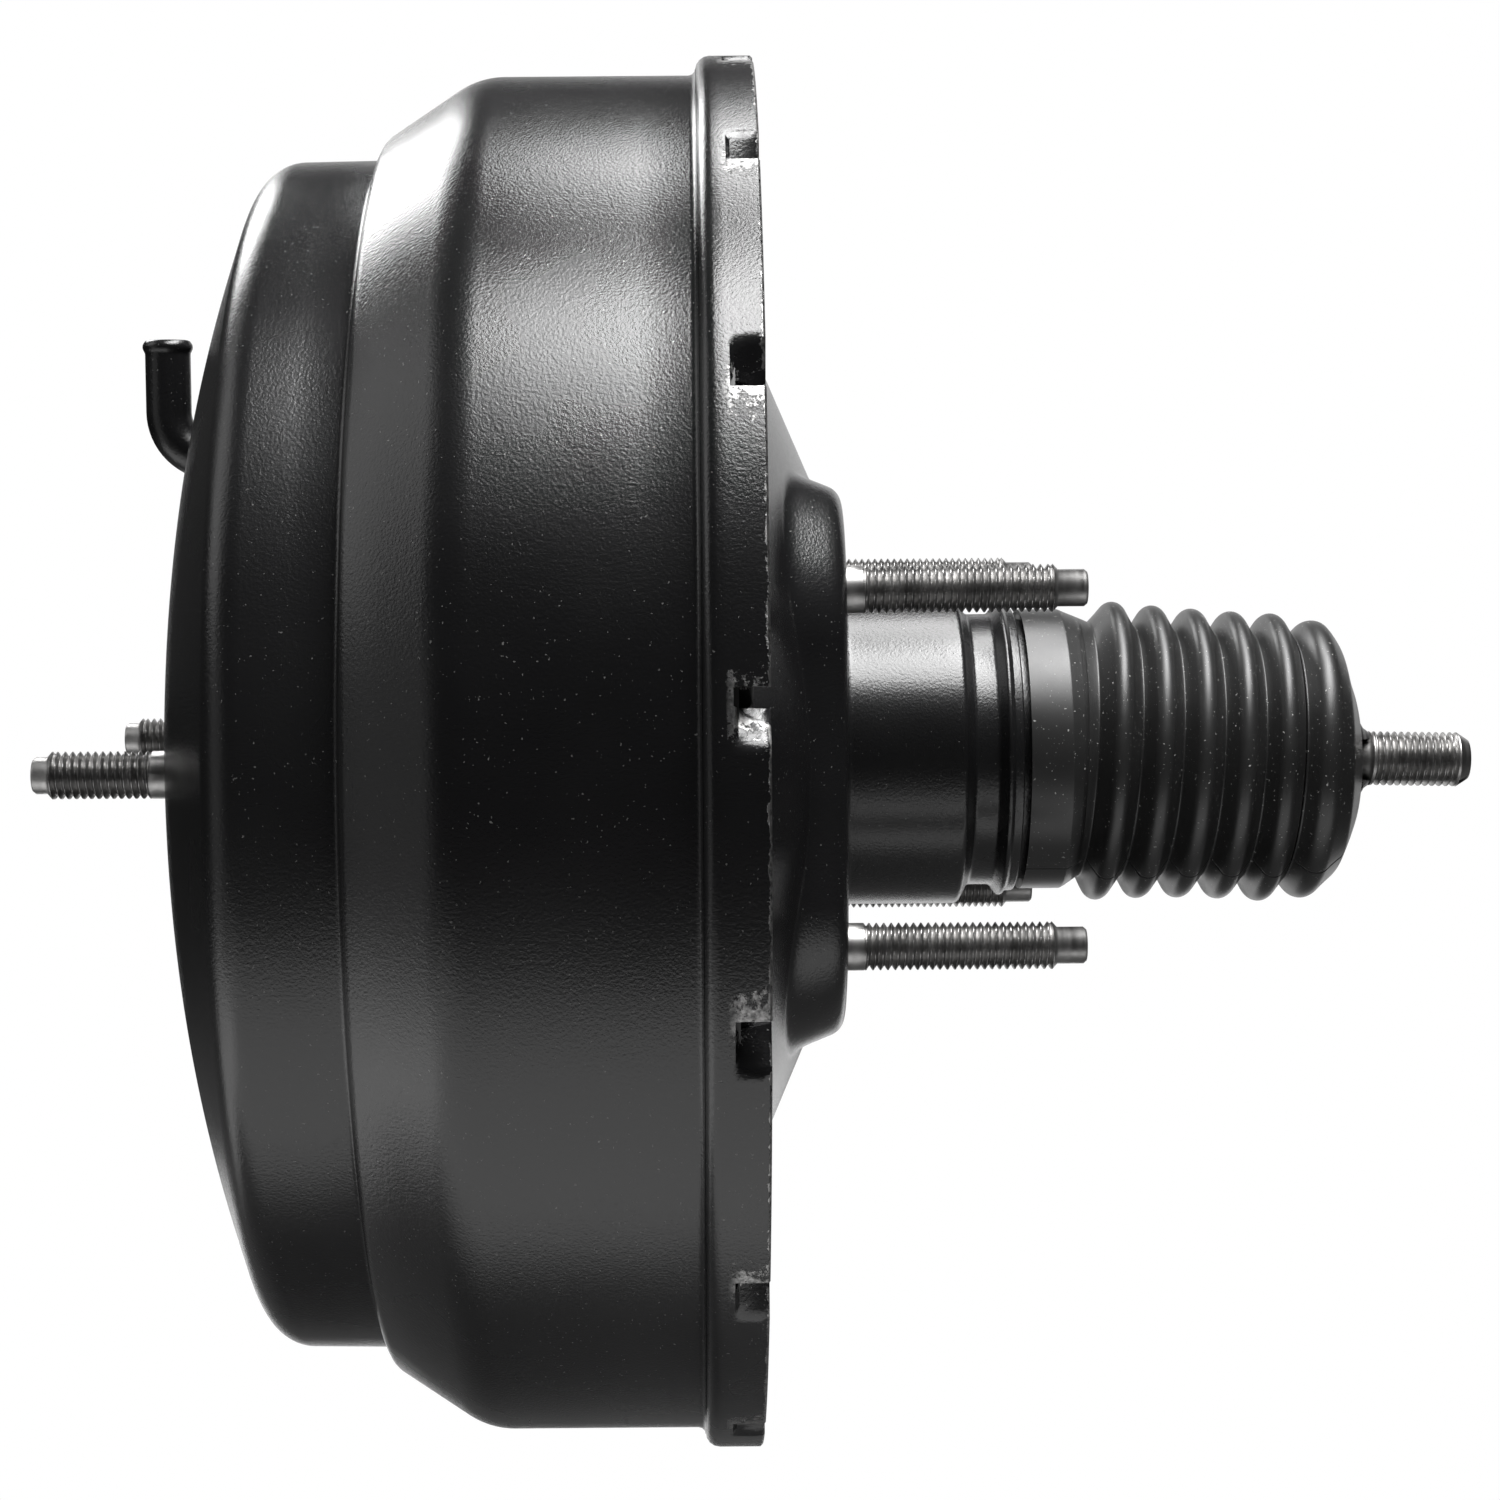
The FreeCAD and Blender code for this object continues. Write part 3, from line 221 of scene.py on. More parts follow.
class Nodes:
    """A node material written as calls."""

    def __init__(self, name):
        self.material = bpy.data.materials.new(name)
        self.material.use_nodes = True
        self.tree = self.material.node_tree
        self.shader = self.tree.nodes["Principled BSDF"]
        self.place = self.add("ShaderNodeTexCoord").outputs["Object"]

    def add(self, kind, **values):
        node = self.tree.nodes.new(kind)
        for key, value in values.items():
            setattr(node, key, value)
        return node

    def link(self, value, socket):
        if isinstance(value, bpy.types.NodeSocket):
            self.tree.links.new(value, socket)
        else:
            socket.default_value = value

    def link_color(self, color, socket):
        """Links a colour socket, or sets three numbers as an opaque colour."""
        self.link(color if isinstance(color, bpy.types.NodeSocket) else (*color, 1.0), socket)

    def math(self, kind, a, b=0.0):
        node = self.add("ShaderNodeMath", operation=kind)
        for value, socket in zip((a, b), node.inputs):
            self.link(value, socket)
        return node.outputs[0]

    def noise(self, scale, detail=3.0, rough=0.5, place=None):
        node = self.add("ShaderNodeTexNoise")
        self.link(self.place if place is None else place, node.inputs["Vector"])
        node.inputs["Scale"].default_value = scale
        node.inputs["Detail"].default_value = detail
        node.inputs["Roughness"].default_value = rough
        return node.outputs["Fac"]

    def ramp(self, value, low, high, start=0.0, end=1.0):
        node = self.add("ShaderNodeMapRange")
        self.link(value, node.inputs["Value"])
        names = ("From Min", "From Max", "To Min", "To Max")
        for name, number in zip(names, (low, high, start, end)):
            node.inputs[name].default_value = number
        return node.outputs["Result"]

    def mix(self, share, a, b):
        node = self.add("ShaderNodeMix", data_type="RGBA")
        self.link(share, node.inputs[0])
        self.link_color(a, node.inputs[6])
        self.link_color(b, node.inputs[7])
        return node.outputs[2]

    def mix_value(self, share, a, b):
        node = self.add("ShaderNodeMix", data_type="FLOAT")
        for value, socket in ((share, node.inputs[0]), (a, node.inputs[2]), (b, node.inputs[3])):
            self.link(value, socket)
        return node.outputs[0]

    def parts(self):
        """The place along the axis, the angle round it and the distance from it."""
        node = self.add("ShaderNodeSeparateXYZ")
        self.link(self.place, node.inputs[0])
        x, y, z = node.outputs
        angle = self.math("ARCTAN2", z, self.math("MULTIPLY", y, -1.0))
        squares = self.math("ADD", self.math("MULTIPLY", y, y), self.math("MULTIPLY", z, z))
        return x, z, angle, self.math("SQRT", squares)

    def bump(self, height, distance, strength=1.0, after=None):
        node = self.add("ShaderNodeBump")
        node.inputs["Strength"].default_value = strength
        node.inputs["Distance"].default_value = distance * MM
        self.link(height, node.inputs["Height"])
        if after is not None:
            self.link(after, node.inputs["Normal"])
        return node.outputs["Normal"]

    def finish(self, color, roughness, metallic=0.0, normal=None):
        self.link_color(color, self.shader.inputs["Base Color"])
        self.link(roughness, self.shader.inputs["Roughness"])
        self.link(metallic, self.shader.inputs["Metallic"])
        if normal is not None:
            self.link(normal, self.shader.inputs["Normal"])
        return self.material


def black_paint():
    """Semi-gloss paint with dust, and bare metal chipped free round the slits and on the rim's lip."""
    m = Nodes("black_paint")
    x, z, angle, ring = m.parts()
    dust = m.ramp(m.noise(2300, 1, 0.4), 0.745, 0.77)
    haze = m.noise(14, 4, 0.55)
    color = m.mix(m.ramp(haze, 0.35, 0.7), (0.0042, 0.0042, 0.0045), (0.0080, 0.0080, 0.0084))
    color = m.mix(m.math("MULTIPLY", dust, 0.30), color, (0.32, 0.32, 0.31))
    rough = m.ramp(haze, 0.3, 0.75, 0.23, 0.31)
    past_first = m.math("SUBTRACT", angle, math.radians(TAB_PHASE))
    turns = m.math("DIVIDE", past_first, math.radians(TAB_STEP))
    shift = m.math("MULTIPLY", m.math("SIGN", z), 0.03)
    from_slit = m.math("SUBTRACT", turns, m.math("ROUND", turns))
    near = m.math("ABSOLUTE", m.math("ADD", from_slit, shift))
    behind_drum = m.ramp(x, -21.0 * MM, -19.5 * MM)
    on_rim = m.math("MULTIPLY", behind_drum, m.ramp(ring, 119.2 * MM, 119.6 * MM))
    patch = m.math("SUBTRACT", m.noise(620, 6, 0.8), m.math("MULTIPLY", near, 2.0))
    chip = m.math("MULTIPLY", m.ramp(patch, 0.38, 0.40), on_rim)
    ragged = m.math("ADD", x, m.math("MULTIPLY", m.noise(420, 5, 0.7), 0.0026))
    lip = m.math("MULTIPLY", m.ramp(ragged, -13.75 * MM, -13.6 * MM), on_rim)
    bare = m.math("MAXIMUM", chip, lip)
    stain = m.ramp(m.noise(900, 4, 0.7), 0.35, 0.7)
    shine = m.mix(stain, (0.08, 0.08, 0.08), (0.38, 0.375, 0.37))
    color = m.mix(bare, color, shine)
    rough = m.mix_value(bare, rough, 0.40)
    peel = m.bump(m.noise(2100, 2, 0.6), 0.060, 1.0)
    wave = m.bump(m.noise(110, 2, 0.5), 0.08, 0.15, peel)
    worn = m.bump(m.math("MULTIPLY", bare, -1.0), 0.08, 0.8, wave)
    return m.finish(color, rough, bare, worn)


def steel(name, color, roughness):
    """Turned steel with fine lines across its axis and faint stains."""
    m = Nodes(name)
    stretch = m.add("ShaderNodeMapping")
    m.link(m.place, stretch.inputs["Vector"])
    stretch.inputs["Scale"].default_value = (900, 60, 60)
    lines = m.noise(1.0, 3, 0.6, stretch.outputs["Vector"])
    stain = m.noise(160, 4, 0.6)
    shade = m.mix(m.ramp(stain, 0.35, 0.7), tuple(c * 0.6 for c in color), color)
    rough = m.ramp(lines, 0.3, 0.7, roughness - 0.06, roughness + 0.10)
    return m.finish(shade, rough, 1.0, m.bump(lines, 0.01, 0.6))


def rubber(name, color, roughness, dust=0.0, parting=False):
    """Moulded rubber with a bloom, and where asked dust and the mould's parting seam."""
    m = Nodes(name)
    bloom = m.noise(40, 5, 0.6)
    shade = m.mix(m.ramp(bloom, 0.3, 0.75), color, tuple(c * 1.5 for c in color))
    rough = m.ramp(bloom, 0.3, 0.7, roughness - 0.05, roughness + 0.08)
    skin = m.bump(m.noise(2400, 2, 0.5), 0.012, 0.6)
    if parting:
        _, _, angle, ring = m.parts()
        wander = m.math("MULTIPLY", m.math("SUBTRACT", m.noise(60, 2, 0.5), 0.5), 0.03)
        from_seam = m.math("ADD", angle, math.radians(PARTING))
        away = m.math("ABSOLUTE", m.math("ADD", from_seam, wander))
        seam = m.ramp(m.math("MULTIPLY", away, ring), 0.34 * MM, 0.14 * MM)
        shade = m.mix(seam, shade, (0.003, 0.003, 0.003))
        rough = m.mix_value(seam, rough, 0.8)
        skin = m.bump(m.math("MULTIPLY", seam, -1.0), 0.20, 1.0, skin)
    if dust:
        speck = m.ramp(m.noise(2100, 2, 0.5), 0.69, 0.73)
        fluff = m.ramp(m.noise(700, 3, 0.6), 0.72, 0.75)
        grain = m.math("MULTIPLY", m.math("MAXIMUM", speck, fluff), dust)
        shade = m.mix(grain, shade, (0.36, 0.36, 0.35))
        rough = m.mix_value(grain, rough, 0.9)
    return m.finish(shade, rough, 0.0, skin)


def plain(name, color, roughness, scale=300, depth=0.01):
    """Plastic or felt with a fine cloudy grain."""
    m = Nodes(name)
    cloud = m.noise(scale, 4, 0.6)
    shade = m.mix(m.ramp(cloud, 0.3, 0.7), tuple(c * 0.8 for c in color), color)
    rough = m.ramp(cloud, 0.3, 0.7, roughness - 0.05, roughness + 0.05)
    return m.finish(shade, rough, 0.0, m.bump(cloud, depth, 0.5))


# The rim's slits and the boot's parting seam, with angles round the axis in degrees

SLITS = 16
TAB_PHASE = 8.0
TAB_STEP = 360 / SLITS
PARTING = 53.0

LOOKS = {
    "black_paint": black_paint(),
    "zinc_steel": steel("zinc_steel", (0.56, 0.55, 0.50), 0.34),
    "stud_steel": steel("stud_steel", (0.36, 0.355, 0.35), 0.36),
    "rod_steel": steel("rod_steel", (0.34, 0.335, 0.33), 0.36),
    "machined_steel": steel("machined_steel", (0.52, 0.52, 0.52), 0.28),
    "spring_steel": steel("spring_steel", (0.33, 0.33, 0.34), 0.33),
    "seal_rubber": rubber("seal_rubber", (0.020, 0.020, 0.020), 0.50),
    "boot_rubber": rubber("boot_rubber", (0.009, 0.009, 0.009), 0.38, dust=0.8, parting=True),
    "guide_plastic": plain("guide_plastic", (0.55, 0.53, 0.47), 0.45),
    "valve_plastic": plain("valve_plastic", (0.050, 0.040, 0.035), 0.45),
    "filter_foam": plain("filter_foam", (0.12, 0.12, 0.12), 0.95, 2200, 0.4),
}


def dress(piece, look, body, *nodes):
    """Gives a piece its finish and the body it rides on, and hides the model's nodes that it replaces.
    """
    piece.data.materials.clear()
    piece.data.materials.append(LOOKS[look])
    if body:
        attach(piece, body)
    if nodes:
        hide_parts(*nodes)
    return piece


for part in frame["record"]["subparts"]:
    node = frame["nodes"][part["node"]]
    node.data.materials.clear()
    node.data.materials.append(LOOKS[part["material_slot"]])
    node.data.shade_smooth()
    node.data.set_sharp_from_angle(angle=math.radians(32))


# Front shell with its lanced rim

WALL = 2.0
DRUM_RADIUS = 119.3
RIM_RADIUS = 122.6
RIM_END = -14.6
SLIT_START = -19.9
SLIT_WIDTH = 2.8
TAB_LENGTH = 5.8
TAB_SINK = 5.6
TAB_WALL = 0.7
TAB_DRAW = 0.55
TAB_PLAY = 0.3
COLUMNS = 40

front_run = [
    (-112.5, 21.0),
    (-112.5, 50.0, 6.0),
    (-108.1, 74.6, 235.0),
    (-96.9, 105.0, 7.0),
    (-77.4, 105.3, 1.0),
    (-77.4, 108.8, 3.0),
    (-61.2, DRUM_RADIUS, 14.0),
    (-24.3, DRUM_RADIUS, 1.2),
    (-24.3, RIM_RADIUS, 2.4),
    (RIM_END, RIM_RADIUS),
]
front_outline = rounded(front_run, 0.8)
front_inline = rounded(offset(front_run, WALL, -1), 1.8)


def tab_share(angle):
    """How far a tab is pushed in at an angle: 1 at its sheared end, 0 where it leaves the rim."""
    turns = (angle - math.radians(TAB_PHASE)) / math.radians(TAB_STEP)
    station = math.floor(turns + 0.5)
    lifted = 0 < station % SLITS < SLITS / 2
    along = (turns - station if lifted else station - turns) * math.radians(TAB_STEP) * RIM_RADIUS
    if along < -0.1:
        return 0.0
    return min(1.0, max(0.0, 1 - (along - SLIT_WIDTH / 2) / TAB_LENGTH))


def lanced(x, r, angle):
    """The rim pushed in towards each slit, most at its end."""
    if x < SLIT_START or r < RIM_RADIUS - WALL - 0.4:
        return x, r
    past = x - SLIT_START
    drawn = TAB_DRAW + (1 - TAB_DRAW) * min(1.0, past / (RIM_END - SLIT_START))
    return x, r - tab_share(angle) * TAB_SINK * min(1.0, past / TAB_WALL) * drawn


front_rim = [Vector((RIM_END, RIM_RADIUS - 0.35)), Vector((RIM_END, RIM_RADIUS - WALL + 0.25))]
rim_steps = (
    SLIT_START - 0.5,
    SLIT_START,
    SLIT_START + TAB_WALL,
    SLIT_START + 2.4,
    RIM_END - 1.4,
    RIM_END - 0.35,
)
rim_places = [Vector((x, RIM_RADIUS)) for x in rim_steps]
front_points = split_long(front_outline[:-1] + rim_places, 8.0) + front_rim
front_points += split_long([Vector((RIM_END - 0.25, RIM_RADIUS - WALL))] + front_inline[::-1][1:], 16.0)
front_shell = lathe(
    "front_shell_pressing",
    front_points,
    SLITS * COLUMNS,
    shape=lanced,
    start=math.radians(TAB_PHASE),
    sharp=30,
)
recalc(front_shell)


def slit_cutter():
    """A block for each slit, a little uneven in width."""
    vertices, faces = [], []
    half = SLIT_WIDTH / 2
    for station in range(SLITS):
        angle = math.radians(TAB_PHASE + TAB_STEP * station)
        out = Vector((0, -math.cos(angle), math.sin(angle)))
        along = Vector((0, math.sin(angle), math.cos(angle)))
        grow = 1 + 0.18 * math.sin(station * 2.4)
        base = len(vertices)
        for x in (SLIT_START, RIM_END + 2):
            for r in (RIM_RADIUS - 9, RIM_RADIUS + 3):
                for side in (-half, half * grow):
                    vertices.append(Vector((x, 0, 0)) + out * r + along * side)
        for face in BOX_FACES:
            faces.append([base + i for i in face])
    return recalc(make("slit_cutter", vertices, faces))


def cut(piece, cutter):
    """Takes the cutter out of a piece for good."""
    change = piece.modifiers.new("cut", "BOOLEAN")
    change.operation = "DIFFERENCE"
    change.object = cutter
    change.solver = "EXACT"
    view = bpy.context.evaluated_depsgraph_get()
    result = bpy.data.meshes.new_from_object(piece.evaluated_get(view))
    piece.modifiers.clear()
    piece.data = result
    bpy.data.objects.remove(cutter)
    piece.data.set_sharp_from_angle(angle=math.radians(40))


cut(front_shell, slit_cutter())
dress(front_shell, "black_paint", "housing", "front_shell")


# Rear shell: cone, raised pad and neck

PAD_WIDTH = 51.5
PAD_HEIGHT = 47.5
PAD_CORNER = 26.0
PAD_BEND = 3.4
FLANGE_RADIUS = 112.0
FLANGE_WIDTH = 8.0
CONE_OUTER = 86.0
CONE_FOOT = -20.5
CONE_SLOPE = 2.31
CONE_TOP = 31.0


def soft_max(a, b, width):
    """The larger of two heights, rounded where they meet."""
    share = max(0.0, min(1.0, 0.5 + (a - b) / (2 * width)))
    return b + (a - b) * share + width * share * (1 - share)


def pad_height(r, angle):
    """Where the pad's surface lies along X at a place: 0 on its face, less beyond its edge."""
    y, z = abs(r * math.cos(angle)), abs(r * math.sin(angle))
    over_y, over_z = y - (PAD_WIDTH - PAD_CORNER), z - (PAD_HEIGHT - PAD_CORNER)
    reach = math.hypot(max(over_y, 0), max(over_z, 0)) + min(max(over_y, over_z), 0) - PAD_CORNER
    into = reach + PAD_BEND
    if into <= 0:
        return 0.0
    bent = min(into, PAD_BEND * 0.93)
    fall = PAD_BEND - math.sqrt(PAD_BEND**2 - bent**2)
    return -fall - max(0.0, into - bent) * 2.5


def padded_cone(x, r, angle):
    """The cone raised to the pad, and the flange giving way under each tab."""
    if r > FLANGE_RADIUS:
        push = max(0.0, tab_share(angle) * TAB_SINK - TAB_PLAY)
        return x, r - push * (r - FLANGE_RADIUS) / FLANGE_WIDTH
    if not 30 < r < CONE_OUTER - 0.5 or x < CONE_FOOT - 1:
        return x, r
    return soft_max(x, pad_height(r, angle), 1.6), r


rear_outer = rounded(
    [
        (-19.0, 120.3),
        (-17.0, 120.3, 0.4),
        (-17.0, 108.0, 4.0),
        (-20.5, 103.5, 2.0),
        (CONE_FOOT, CONE_OUTER, 8.0),
        (CONE_FOOT + (CONE_OUTER - CONE_TOP) / CONE_SLOPE, CONE_TOP),
    ]
)
rear_cone = lathe(
    "rear_shell_cone",
    split_long(rear_outer, 0.7),
    512,
    closed=False,
    shape=padded_cone,
    start=math.radians(TAB_PHASE),
    sharp=60,
)


def flatten_top(piece):
    """The cone stops at the pad's face."""
    for v in piece.data.vertices:
        v.co.x = min(v.co.x, 0.0)


flatten_top(rear_cone)
recalc(rear_cone)
neck_run = [
    (-1.0, 31.5),
    (0.0, 31.2, 0.3),
    (0.05, 27.8, 2.2),
    (21.6, 27.8, 1.2),
    (23.4, 24.4, 1.0),
    (27.6, 24.4, 1.0),
    (29.3, 26.7, 0.6),
    (30.2, 25.6, 0.3),
    (31.7, 25.5, 0.3),
    (31.9, 23.4, 0.1),
    (40.0, 23.4),
    (40.0, 21.4),
    (30.0, 21.4),
]
neck_points = split_long(rounded(neck_run, 0.2), 3.0)
rear_neck = recalc(lathe("rear_shell_neck", neck_points, closed=False))
dress(rear_neck, "black_paint", "housing")
dress(rear_cone, "black_paint", "housing", "rear_shell")


# Studs and push rod with rolled threads

STUD_RADIUS = 4.0
STUD_CHAMFER = 0.8
STUD_TIP = 3.1


def stud(name, at, way, shank, thread_end, end):
    """A stud in the housing, made at the origin and set at a place to point along +X or -X."""
    run = [
        (-2.0, 4.5),
        (0.0, 4.5),
        (0.0, STUD_RADIUS),
        (thread_end - STUD_CHAMFER, STUD_RADIUS),
        (thread_end, STUD_TIP),
        (end - 0.5, STUD_TIP),
        (end, 2.7),
        (end, 0.0),
    ]
    points = [Vector(p) for p in run]
    piece = threaded(name, points, shank, thread_end - STUD_CHAMFER, STUD_RADIUS)
    for v in piece.data.vertices:
        v.co = Vector((at[0] * MM + way * v.co.x, at[1] * MM + v.co.y, at[2] * MM + v.co.z))
    return recalc(piece)


REAR_STUDS = ((-41, -30), (-41, 30), (41, -30), (41, 30))
for count, (y, z) in enumerate(REAR_STUDS):
    piece = stud(f"rear_stud_{count + 1}", (0, y, z), 1, 2.8, 35.3, 40.2)
    dress(piece, "stud_steel", "housing", *(["rear_studs"] if count == 0 else []))
for count, y in enumerate((-42, 42)):
    piece = stud(f"front_stud_{count + 1}", (-112.5, y, 0), -1, 3.2, 20.8, 23.2)
    dress(piece, "stud_steel", "housing", *(["front_studs"] if count == 0 else []))

BALL = Vector((-8.0, 0, 0))
DROOP = math.radians(1.2)
ROD_RADIUS = 4.9
ROD_THREAD = (104.6, 120.4)
rod_run = [
    (-5.0, 0.0),
    (-5.0, 5.0, 4.9),
    (3.0, 5.0, 4.0),
    (4.0, 3.1, 0.5),
    (10.0, 3.1, 1.0),
    (11.0, 4.2, 0.5),
    (51.0, 4.2),
    (51.0, 8.0, 0.3),
    (53.0, 8.0, 0.3),
    (53.0, 4.2),
    (103.9, 4.2),
    (ROD_THREAD[0], ROD_RADIUS),
    (ROD_THREAD[1], ROD_RADIUS),
    (122.4, 3.6),
    (122.4, 0.0),
]
push_rod = threaded("push_rod", rounded(rod_run, 0.3), *ROD_THREAD, ROD_RADIUS, lead_in=1.0)


def droop(piece):
    """Turns a piece made about the origin down to the push rod's line and sets it on the ball."""
    turn = Matrix.Rotation(DROOP, 4, "Y")
    piece.data.transform(Matrix.Translation(BALL * MM) @ turn)
    return piece


recalc(droop(push_rod))
dress(push_rod, "rod_steel", "push_rod", "input_rod")


# Vacuum pipe

PIPE_TOP = 75.8
PIPE_RADIUS = 4.2
PIPE_BORE = 2.9
PIPE_BEND = 8.5
PIPE_STEPS = 48
PIPE_Y = 22.0
PIPE_Z = 54.0


def tube(name, path, radius):
    """A round tube along a flat path in the XZ plane, with radius(i) outside."""
    rows, vertices, faces = [], [], []
    ways = []
    for i in range(len(path)):
        before, after = path[max(i - 1, 0)], path[min(i + 1, len(path) - 1)]
        ways.append((after - before).normalized())
    rings = [(p, w, radius(i)) for i, (p, w) in enumerate(zip(path, ways))]
    rings += [(p, w, PIPE_BORE) for p, w in reversed(list(zip(path, ways)))]
    for place, way, r in rings:
        across = Vector((0, 1, 0))
        up = way.cross(across)
        row = []
        for k in range(PIPE_STEPS):
            angle = 2 * math.pi * k / PIPE_STEPS
            row.append(len(vertices))
            vertices.append(place + (across * math.cos(angle) + up * math.sin(angle)) * r)
        rows.append(row)
    for low, high in zip(rows, rows[1:] + rows[:1]):
        for k in range(PIPE_STEPS):
            n = (k + 1) % PIPE_STEPS
            faces.append([low[k], low[n], high[n], high[k]])
    return recalc(make(name, vertices, faces, 50))


# The open end's rolled bead: height from the top, and how far it swells
bead = [
    (-7, 0),
    (-2.9, 0),
    (-2.4, 0.02),
    (-2.0, 0.22),
    (-1.6, 0.40),
    (-1.2, 0.45),
    (-0.8, 0.38),
    (-0.4, 0.14),
    (-0.1, -0.1),
    (0, -0.4),
]
corner = Vector((-122.8, PIPE_Y, PIPE_Z))
path = [Vector((-108.0, PIPE_Y, PIPE_Z)), Vector((-113.0, PIPE_Y, PIPE_Z))]
for k in range(17):
    angle = math.radians(90 * k / 16)
    inward, upward = PIPE_BEND * math.sin(angle), PIPE_BEND * math.cos(angle)
    path.append(corner + Vector((PIPE_BEND - inward, 0, PIPE_BEND - upward)))
swell = [0.0] * len(path) + [s for _, s in bead]
path += [Vector((corner.x, corner.y, PIPE_TOP + z)) for z, _ in bead]
pipe = tube("vacuum_pipe_elbow", path, lambda i: PIPE_RADIUS + swell[i])
dress(pipe, "black_paint", "housing", "vacuum_pipe")
collar = lathe(
    "vacuum_pipe_collar",
    rounded([(-107.0, 4.1), (-107.0, 7.0), (-113.0, 7.0, 0.4), (-113.6, 5.4, 0.6), (-114.6, 4.15)]),
    64,
)
collar.data.transform(Matrix.Translation(Vector((0, PIPE_Y, PIPE_Z)) * MM))
dress(recalc(collar), "black_paint", "housing")


# Dust boot: cuff, folds, and the end that sags with the rod's droop

BOOT_WALL = 1.4
BOOT_STEP = 1.2
BOOT_STEPS = 192
CUFF_END = 43.0
LAST_ROOT = 80.6
FOLDS = 6
FOLD_PITCH = 7.2
FIRST_CREST = 48.5
CREST_RADIUS = 28.5
ROOT_RADIUS = 22.5
LEAN = math.tan(math.radians(3.9))


def boot_outer():
    """The boot's outside, from the cuff over the folds to the end's small opening."""
    run = [(33.0, 24.9, 0.0), (33.0, 25.2, 0.0), (40.2, 25.2, 0.8), (44.7, 22.9, 0.3)]
    for fold in range(FOLDS):
        crest = FIRST_CREST + FOLD_PITCH * fold
        last = fold == FOLDS - 1
        taper = 0.2 * fold + (1.3 if last else 0)
        place = crest + (0.4 if last else 0)
        run.append((place, CREST_RADIUS - taper, 2.8 if last else 2.0))
        if not last:
            run.append((crest + 3.8, ROOT_RADIUS - taper * 0.5, 0.25))
    run += [(89.6, 21.2, 4.5), (92.7, 13.3, 8.0), (93.3, 8.2, 0.8), (93.5, 7.4)]
    return run


def smooth(value, low, high):
    """0 before low, 1 after high, and an even turn between them."""
    share = max(0.0, min(1.0, (value - low) / (high - low)))
    return share * share * (3 - 2 * share)


def settle(piece):
    """The moulded boot as it hangs: folds lean back and the free end sags with the rod."""
    for v in piece.data.vertices:
        x, y, z = v.co / MM
        lean = LEAN * smooth(x, 40.0, 47.0)
        lean = lean * (1 - 0.3 * smooth(x, 47.0, 87.0)) * (1 - smooth(x, 87.0, 92.0))
        sag = math.tan(DROOP) * (x - BALL.x) * smooth(x, 43.0, 92.0)
        sag += 0.45 * smooth(x, 42.0, 50.0) * (1 - smooth(x, 84.0, 92.0))
        wave = 0.25 * math.sin(2.0 * math.atan2(z, y) + x * 0.12)
        wave = wave * smooth(x, 45.0, 55.0) * (1 - smooth(x, 86.0, 91.0))
        grow = 1 + wave / 25
        v.co = Vector((x + z * lean, y * grow, z * grow - sag)) * MM
    return piece


def between(points, low, high):
    """The run's stretch between two places along X, cut off square."""
    kept = []
    for a, b in zip(points, points[1:]):
        for edge in (low, high):
            if (a.x - edge) * (b.x - edge) < 0:
                spot = a.lerp(b, (edge - a.x) / (b.x - a.x))
                kept.append(spot)
        if low <= b.x <= high:
            kept.append(b)
    return sorted(kept, key=lambda p: p.x)


boot_points = rounded(boot_outer(), 0.15)
boot_inline = rounded(offset(boot_outer(), BOOT_WALL, -1), 0.15)


def boot_ring(name, outer, inner):
    """A turned piece of the boot from its outside and its inside, both along +X."""
    run = split_long(outer, BOOT_STEP) + split_long(inner[::-1], BOOT_STEP)
    return lathe(name, run, BOOT_STEPS, sharp=70)


def boot_piece(name, low, high):
    """The boot's stretch between two places along X."""
    return boot_ring(name, between(boot_points, low, high), between(boot_inline, low, high))


def window_cutter():
    """Two slots in the collar's end, one on each side."""
    vertices, faces = [], []
    for side in (-1, 1):
        base = len(vertices)
        for x in (94.0, 98.0):
            for y in (3.4, 12.0):
                for z in (-3.8, 3.8):
                    vertices.append((x, side * y, z))
        for face in BOX_FACES:
            faces.append([base + i for i in face])
    return recalc(make("window_cutter", vertices, faces))


cuff = recalc(settle(boot_piece("boot_cuff", 32.0, CUFF_END)))
dress(cuff, "boot_rubber", "housing")
folds = recalc(settle(boot_piece("boot_folds", CUFF_END, LAST_ROOT)))
dress(folds, "boot_rubber", "housing")
collar_run = [
    (93.4, 7.4),
    (94.4, 7.2, 1.2),
    (95.4, 5.6, 0.8),
    (96.1, 5.1),
    (96.1, 4.96),
    (91.9, 4.96),
]
end_outer = [p for p in boot_points if p.x >= LAST_ROOT] + rounded(collar_run, 0.1)
end_inner = [p for p in boot_inline if p.x >= LAST_ROOT and p.y > 6.0]
boot_end = boot_ring("boot_end", end_outer, end_inner)
recalc(boot_end)
cut(boot_end, window_cutter())
settle(boot_end)
dress(boot_end, "boot_rubber", None, "dust_boot")
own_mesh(folds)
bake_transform(boot_end)


# Rolling diaphragms: the front one whole, the rear one as a bead and a web

def rubber_ring(name, corners):
    """A moulded ring with points no more than 3 mm apart."""
    return recalc(lathe(name, split_long(rounded(corners, 1.0), 3.0), 160, sharp=40))


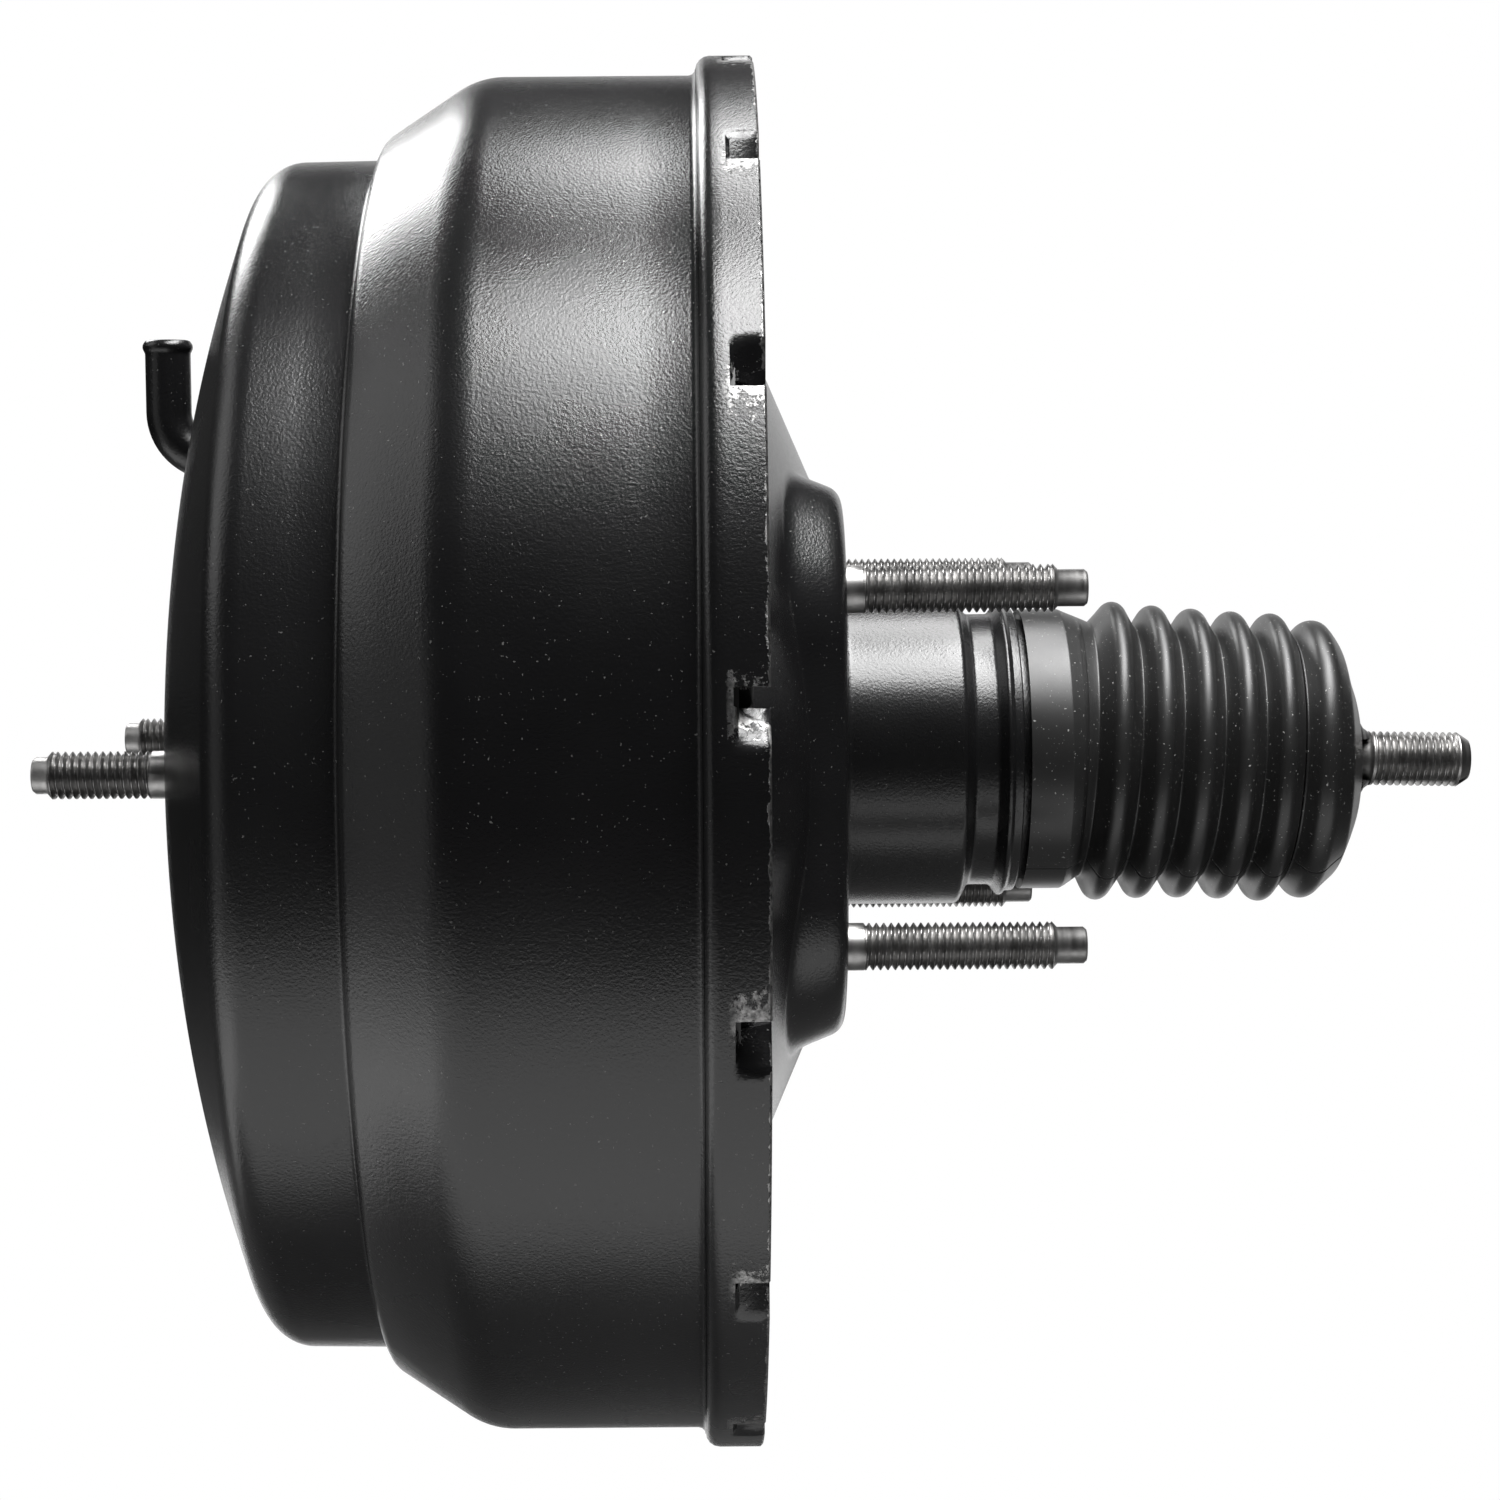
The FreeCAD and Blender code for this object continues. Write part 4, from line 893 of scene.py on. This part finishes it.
front_corners = [
    (-75.1, 97.2),
    (-75.1, 106.8),
    (-73.1, 106.8),
    (-73.1, 99.0),
    (-58.9, 95.6, 2.5),
    (-58.9, 24.05),
    (-60.7, 24.05),
    (-60.7, 93.8),
]
outer_corners = [
    (-20.9, 120.3),
    (-19.1, 120.3),
    (-19.1, 113.6),
    (-37.9, 113.6, 1.9),
    (-37.9, 111.6),
    (-39.7, 111.6),
    (-39.7, 115.4, 3.6),
    (-20.9, 115.4),
]
inner_corners = [
    (-39.7, 111.6),
    (-37.9, 111.6),
    (-37.9, 109.6, 1.9),
    (-22.9, 109.6, 1.8),
    (-22.9, 62.9),
    (-10.4, 44.9),
    (-10.4, 20.55),
    (-12.2, 20.55),
    (-12.2, 44.0),
    (-24.7, 62.0),
    (-24.7, 107.8),
    (-39.7, 107.8, 3.6),
    (-39.7, 111.5),
]
front_rubber = rubber_ring("front_diaphragm_rubber", front_corners)
dress(front_rubber, "seal_rubber", None, "front_diaphragm")
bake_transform(front_rubber)
outer_leg = rubber_ring("rear_diaphragm_bead", outer_corners)
dress(outer_leg, "seal_rubber", None)
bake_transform(outer_leg)
inner_leg = rubber_ring("rear_diaphragm_web", inner_corners)
dress(inner_leg, "seal_rubber", None, "rear_diaphragm")
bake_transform(inner_leg)


# Studio, in metres

FLOOR = -0.30
CARD = -0.29
AIM = (-0.026, 0.0, 0.0)


def area_light(name, place, aim, width, height, watts):
    """A soft light that the camera doesn't see."""
    data = bpy.data.lights.new(name, "AREA")
    data.shape = "RECTANGLE"
    data.size, data.size_y = width, height
    data.energy = watts
    light = bpy.data.objects.new(name, data)
    light.location = place
    light.rotation_mode = "QUATERNION"
    light.rotation_quaternion = (Vector(aim) - Vector(place)).to_track_quat("-Z", "Y")
    light.visible_camera = False
    bpy.context.scene.collection.objects.link(light)


def white_stage(name):
    """A white surface that the camera sees as the page."""
    material = bpy.data.materials.new(name)
    material.use_nodes = True
    tree = material.node_tree
    shader = tree.nodes["Principled BSDF"]
    shader.inputs["Base Color"].default_value = (0.10, 0.10, 0.10, 1)
    shader.inputs["Roughness"].default_value = 0.9
    glow = tree.nodes.new("ShaderNodeEmission")
    glow.inputs["Color"].default_value = (1, 1, 1, 1)
    seen = tree.nodes.new("ShaderNodeLightPath")
    blend = tree.nodes.new("ShaderNodeMixShader")
    tree.links.new(seen.outputs["Is Camera Ray"], blend.inputs[0])
    tree.links.new(shader.outputs[0], blend.inputs[1])
    tree.links.new(glow.outputs[0], blend.inputs[2])
    tree.links.new(blend.outputs[0], tree.nodes["Material Output"].inputs["Surface"])
    return material


bpy.ops.mesh.primitive_plane_add(size=12, location=(0, 0, FLOOR))
floor = bpy.context.object
floor.name = "floor"
floor.data.materials.append(white_stage("floor_white"))

world = bpy.data.worlds.new("studio")
bpy.context.scene.world = world
world.use_nodes = True
sky = world.node_tree
back = sky.nodes["Background"]
back.inputs["Color"].default_value = (1, 1, 1, 1)
seen = sky.nodes.new("ShaderNodeLightPath")
level = sky.nodes.new("ShaderNodeMapRange")
level.inputs["To Min"].default_value = 0.03
level.inputs["To Max"].default_value = 1.0
sky.links.new(seen.outputs["Is Camera Ray"], level.inputs["Value"])
sky.links.new(level.outputs["Result"], back.inputs["Strength"])

area_light("top_box", (0.13, -0.25, 0.66), AIM, 0.46, 0.37, 10.8)
area_light("top_fill", (0.12, 0.085, 0.66), AIM, 0.50, 0.27, 5.0)
area_light("left_box", (-0.50, 0.62, 0.62), AIM, 0.36, 0.36, 4.5)
area_light("left_card", (-0.75, -0.05, 0.44), AIM, 0.46, 0.50, 1.0)
area_light("left_low", (-0.80, -0.35, -0.02), AIM, 0.44, 0.50, 0.25)
area_light("left_floor", (-0.56, -0.12, CARD), (-0.56, -0.12, 0.0), 0.44, 0.36, 0.75)
area_light("back_panel", (0.22, 0.95, 0.125), AIM, 1.34, 0.75, 3.0)
area_light("back_card", (0.05, 0.62, CARD), (0.05, 0.62, 0.0), 0.90, 0.50, 2.0)
area_light("floor_card", (-0.05, -0.31, CARD), (-0.05, -0.31, 0.0), 0.90, 0.38, 1.35)

# Camera, a little above the axis

RISE = math.radians(4.4)
ROLL = 0.0078
DISTANCE = 0.545
camera_data = bpy.data.cameras.new("camera")
camera_data.sensor_width = 36
camera_data.lens = 72.3
camera_data.shift_x = 59.5 / 1500
camera_data.shift_y = 0.0009
camera = bpy.data.objects.new("camera", camera_data)
bpy.context.scene.collection.objects.link(camera)
bpy.context.scene.camera = camera
away = Vector((0, -math.cos(RISE), math.sin(RISE)))
camera.location = Vector(AIM) + away * DISTANCE
camera.rotation_mode = "QUATERNION"
roll = Matrix.Rotation(-ROLL, 3, "Z").to_quaternion()
camera.rotation_quaternion = (-away).to_track_quat("-Z", "Y") @ roll

scene = bpy.context.scene
scene.view_settings.view_transform = "Standard"
scene.view_settings.look = "None"
scene.render.engine = "CYCLES"
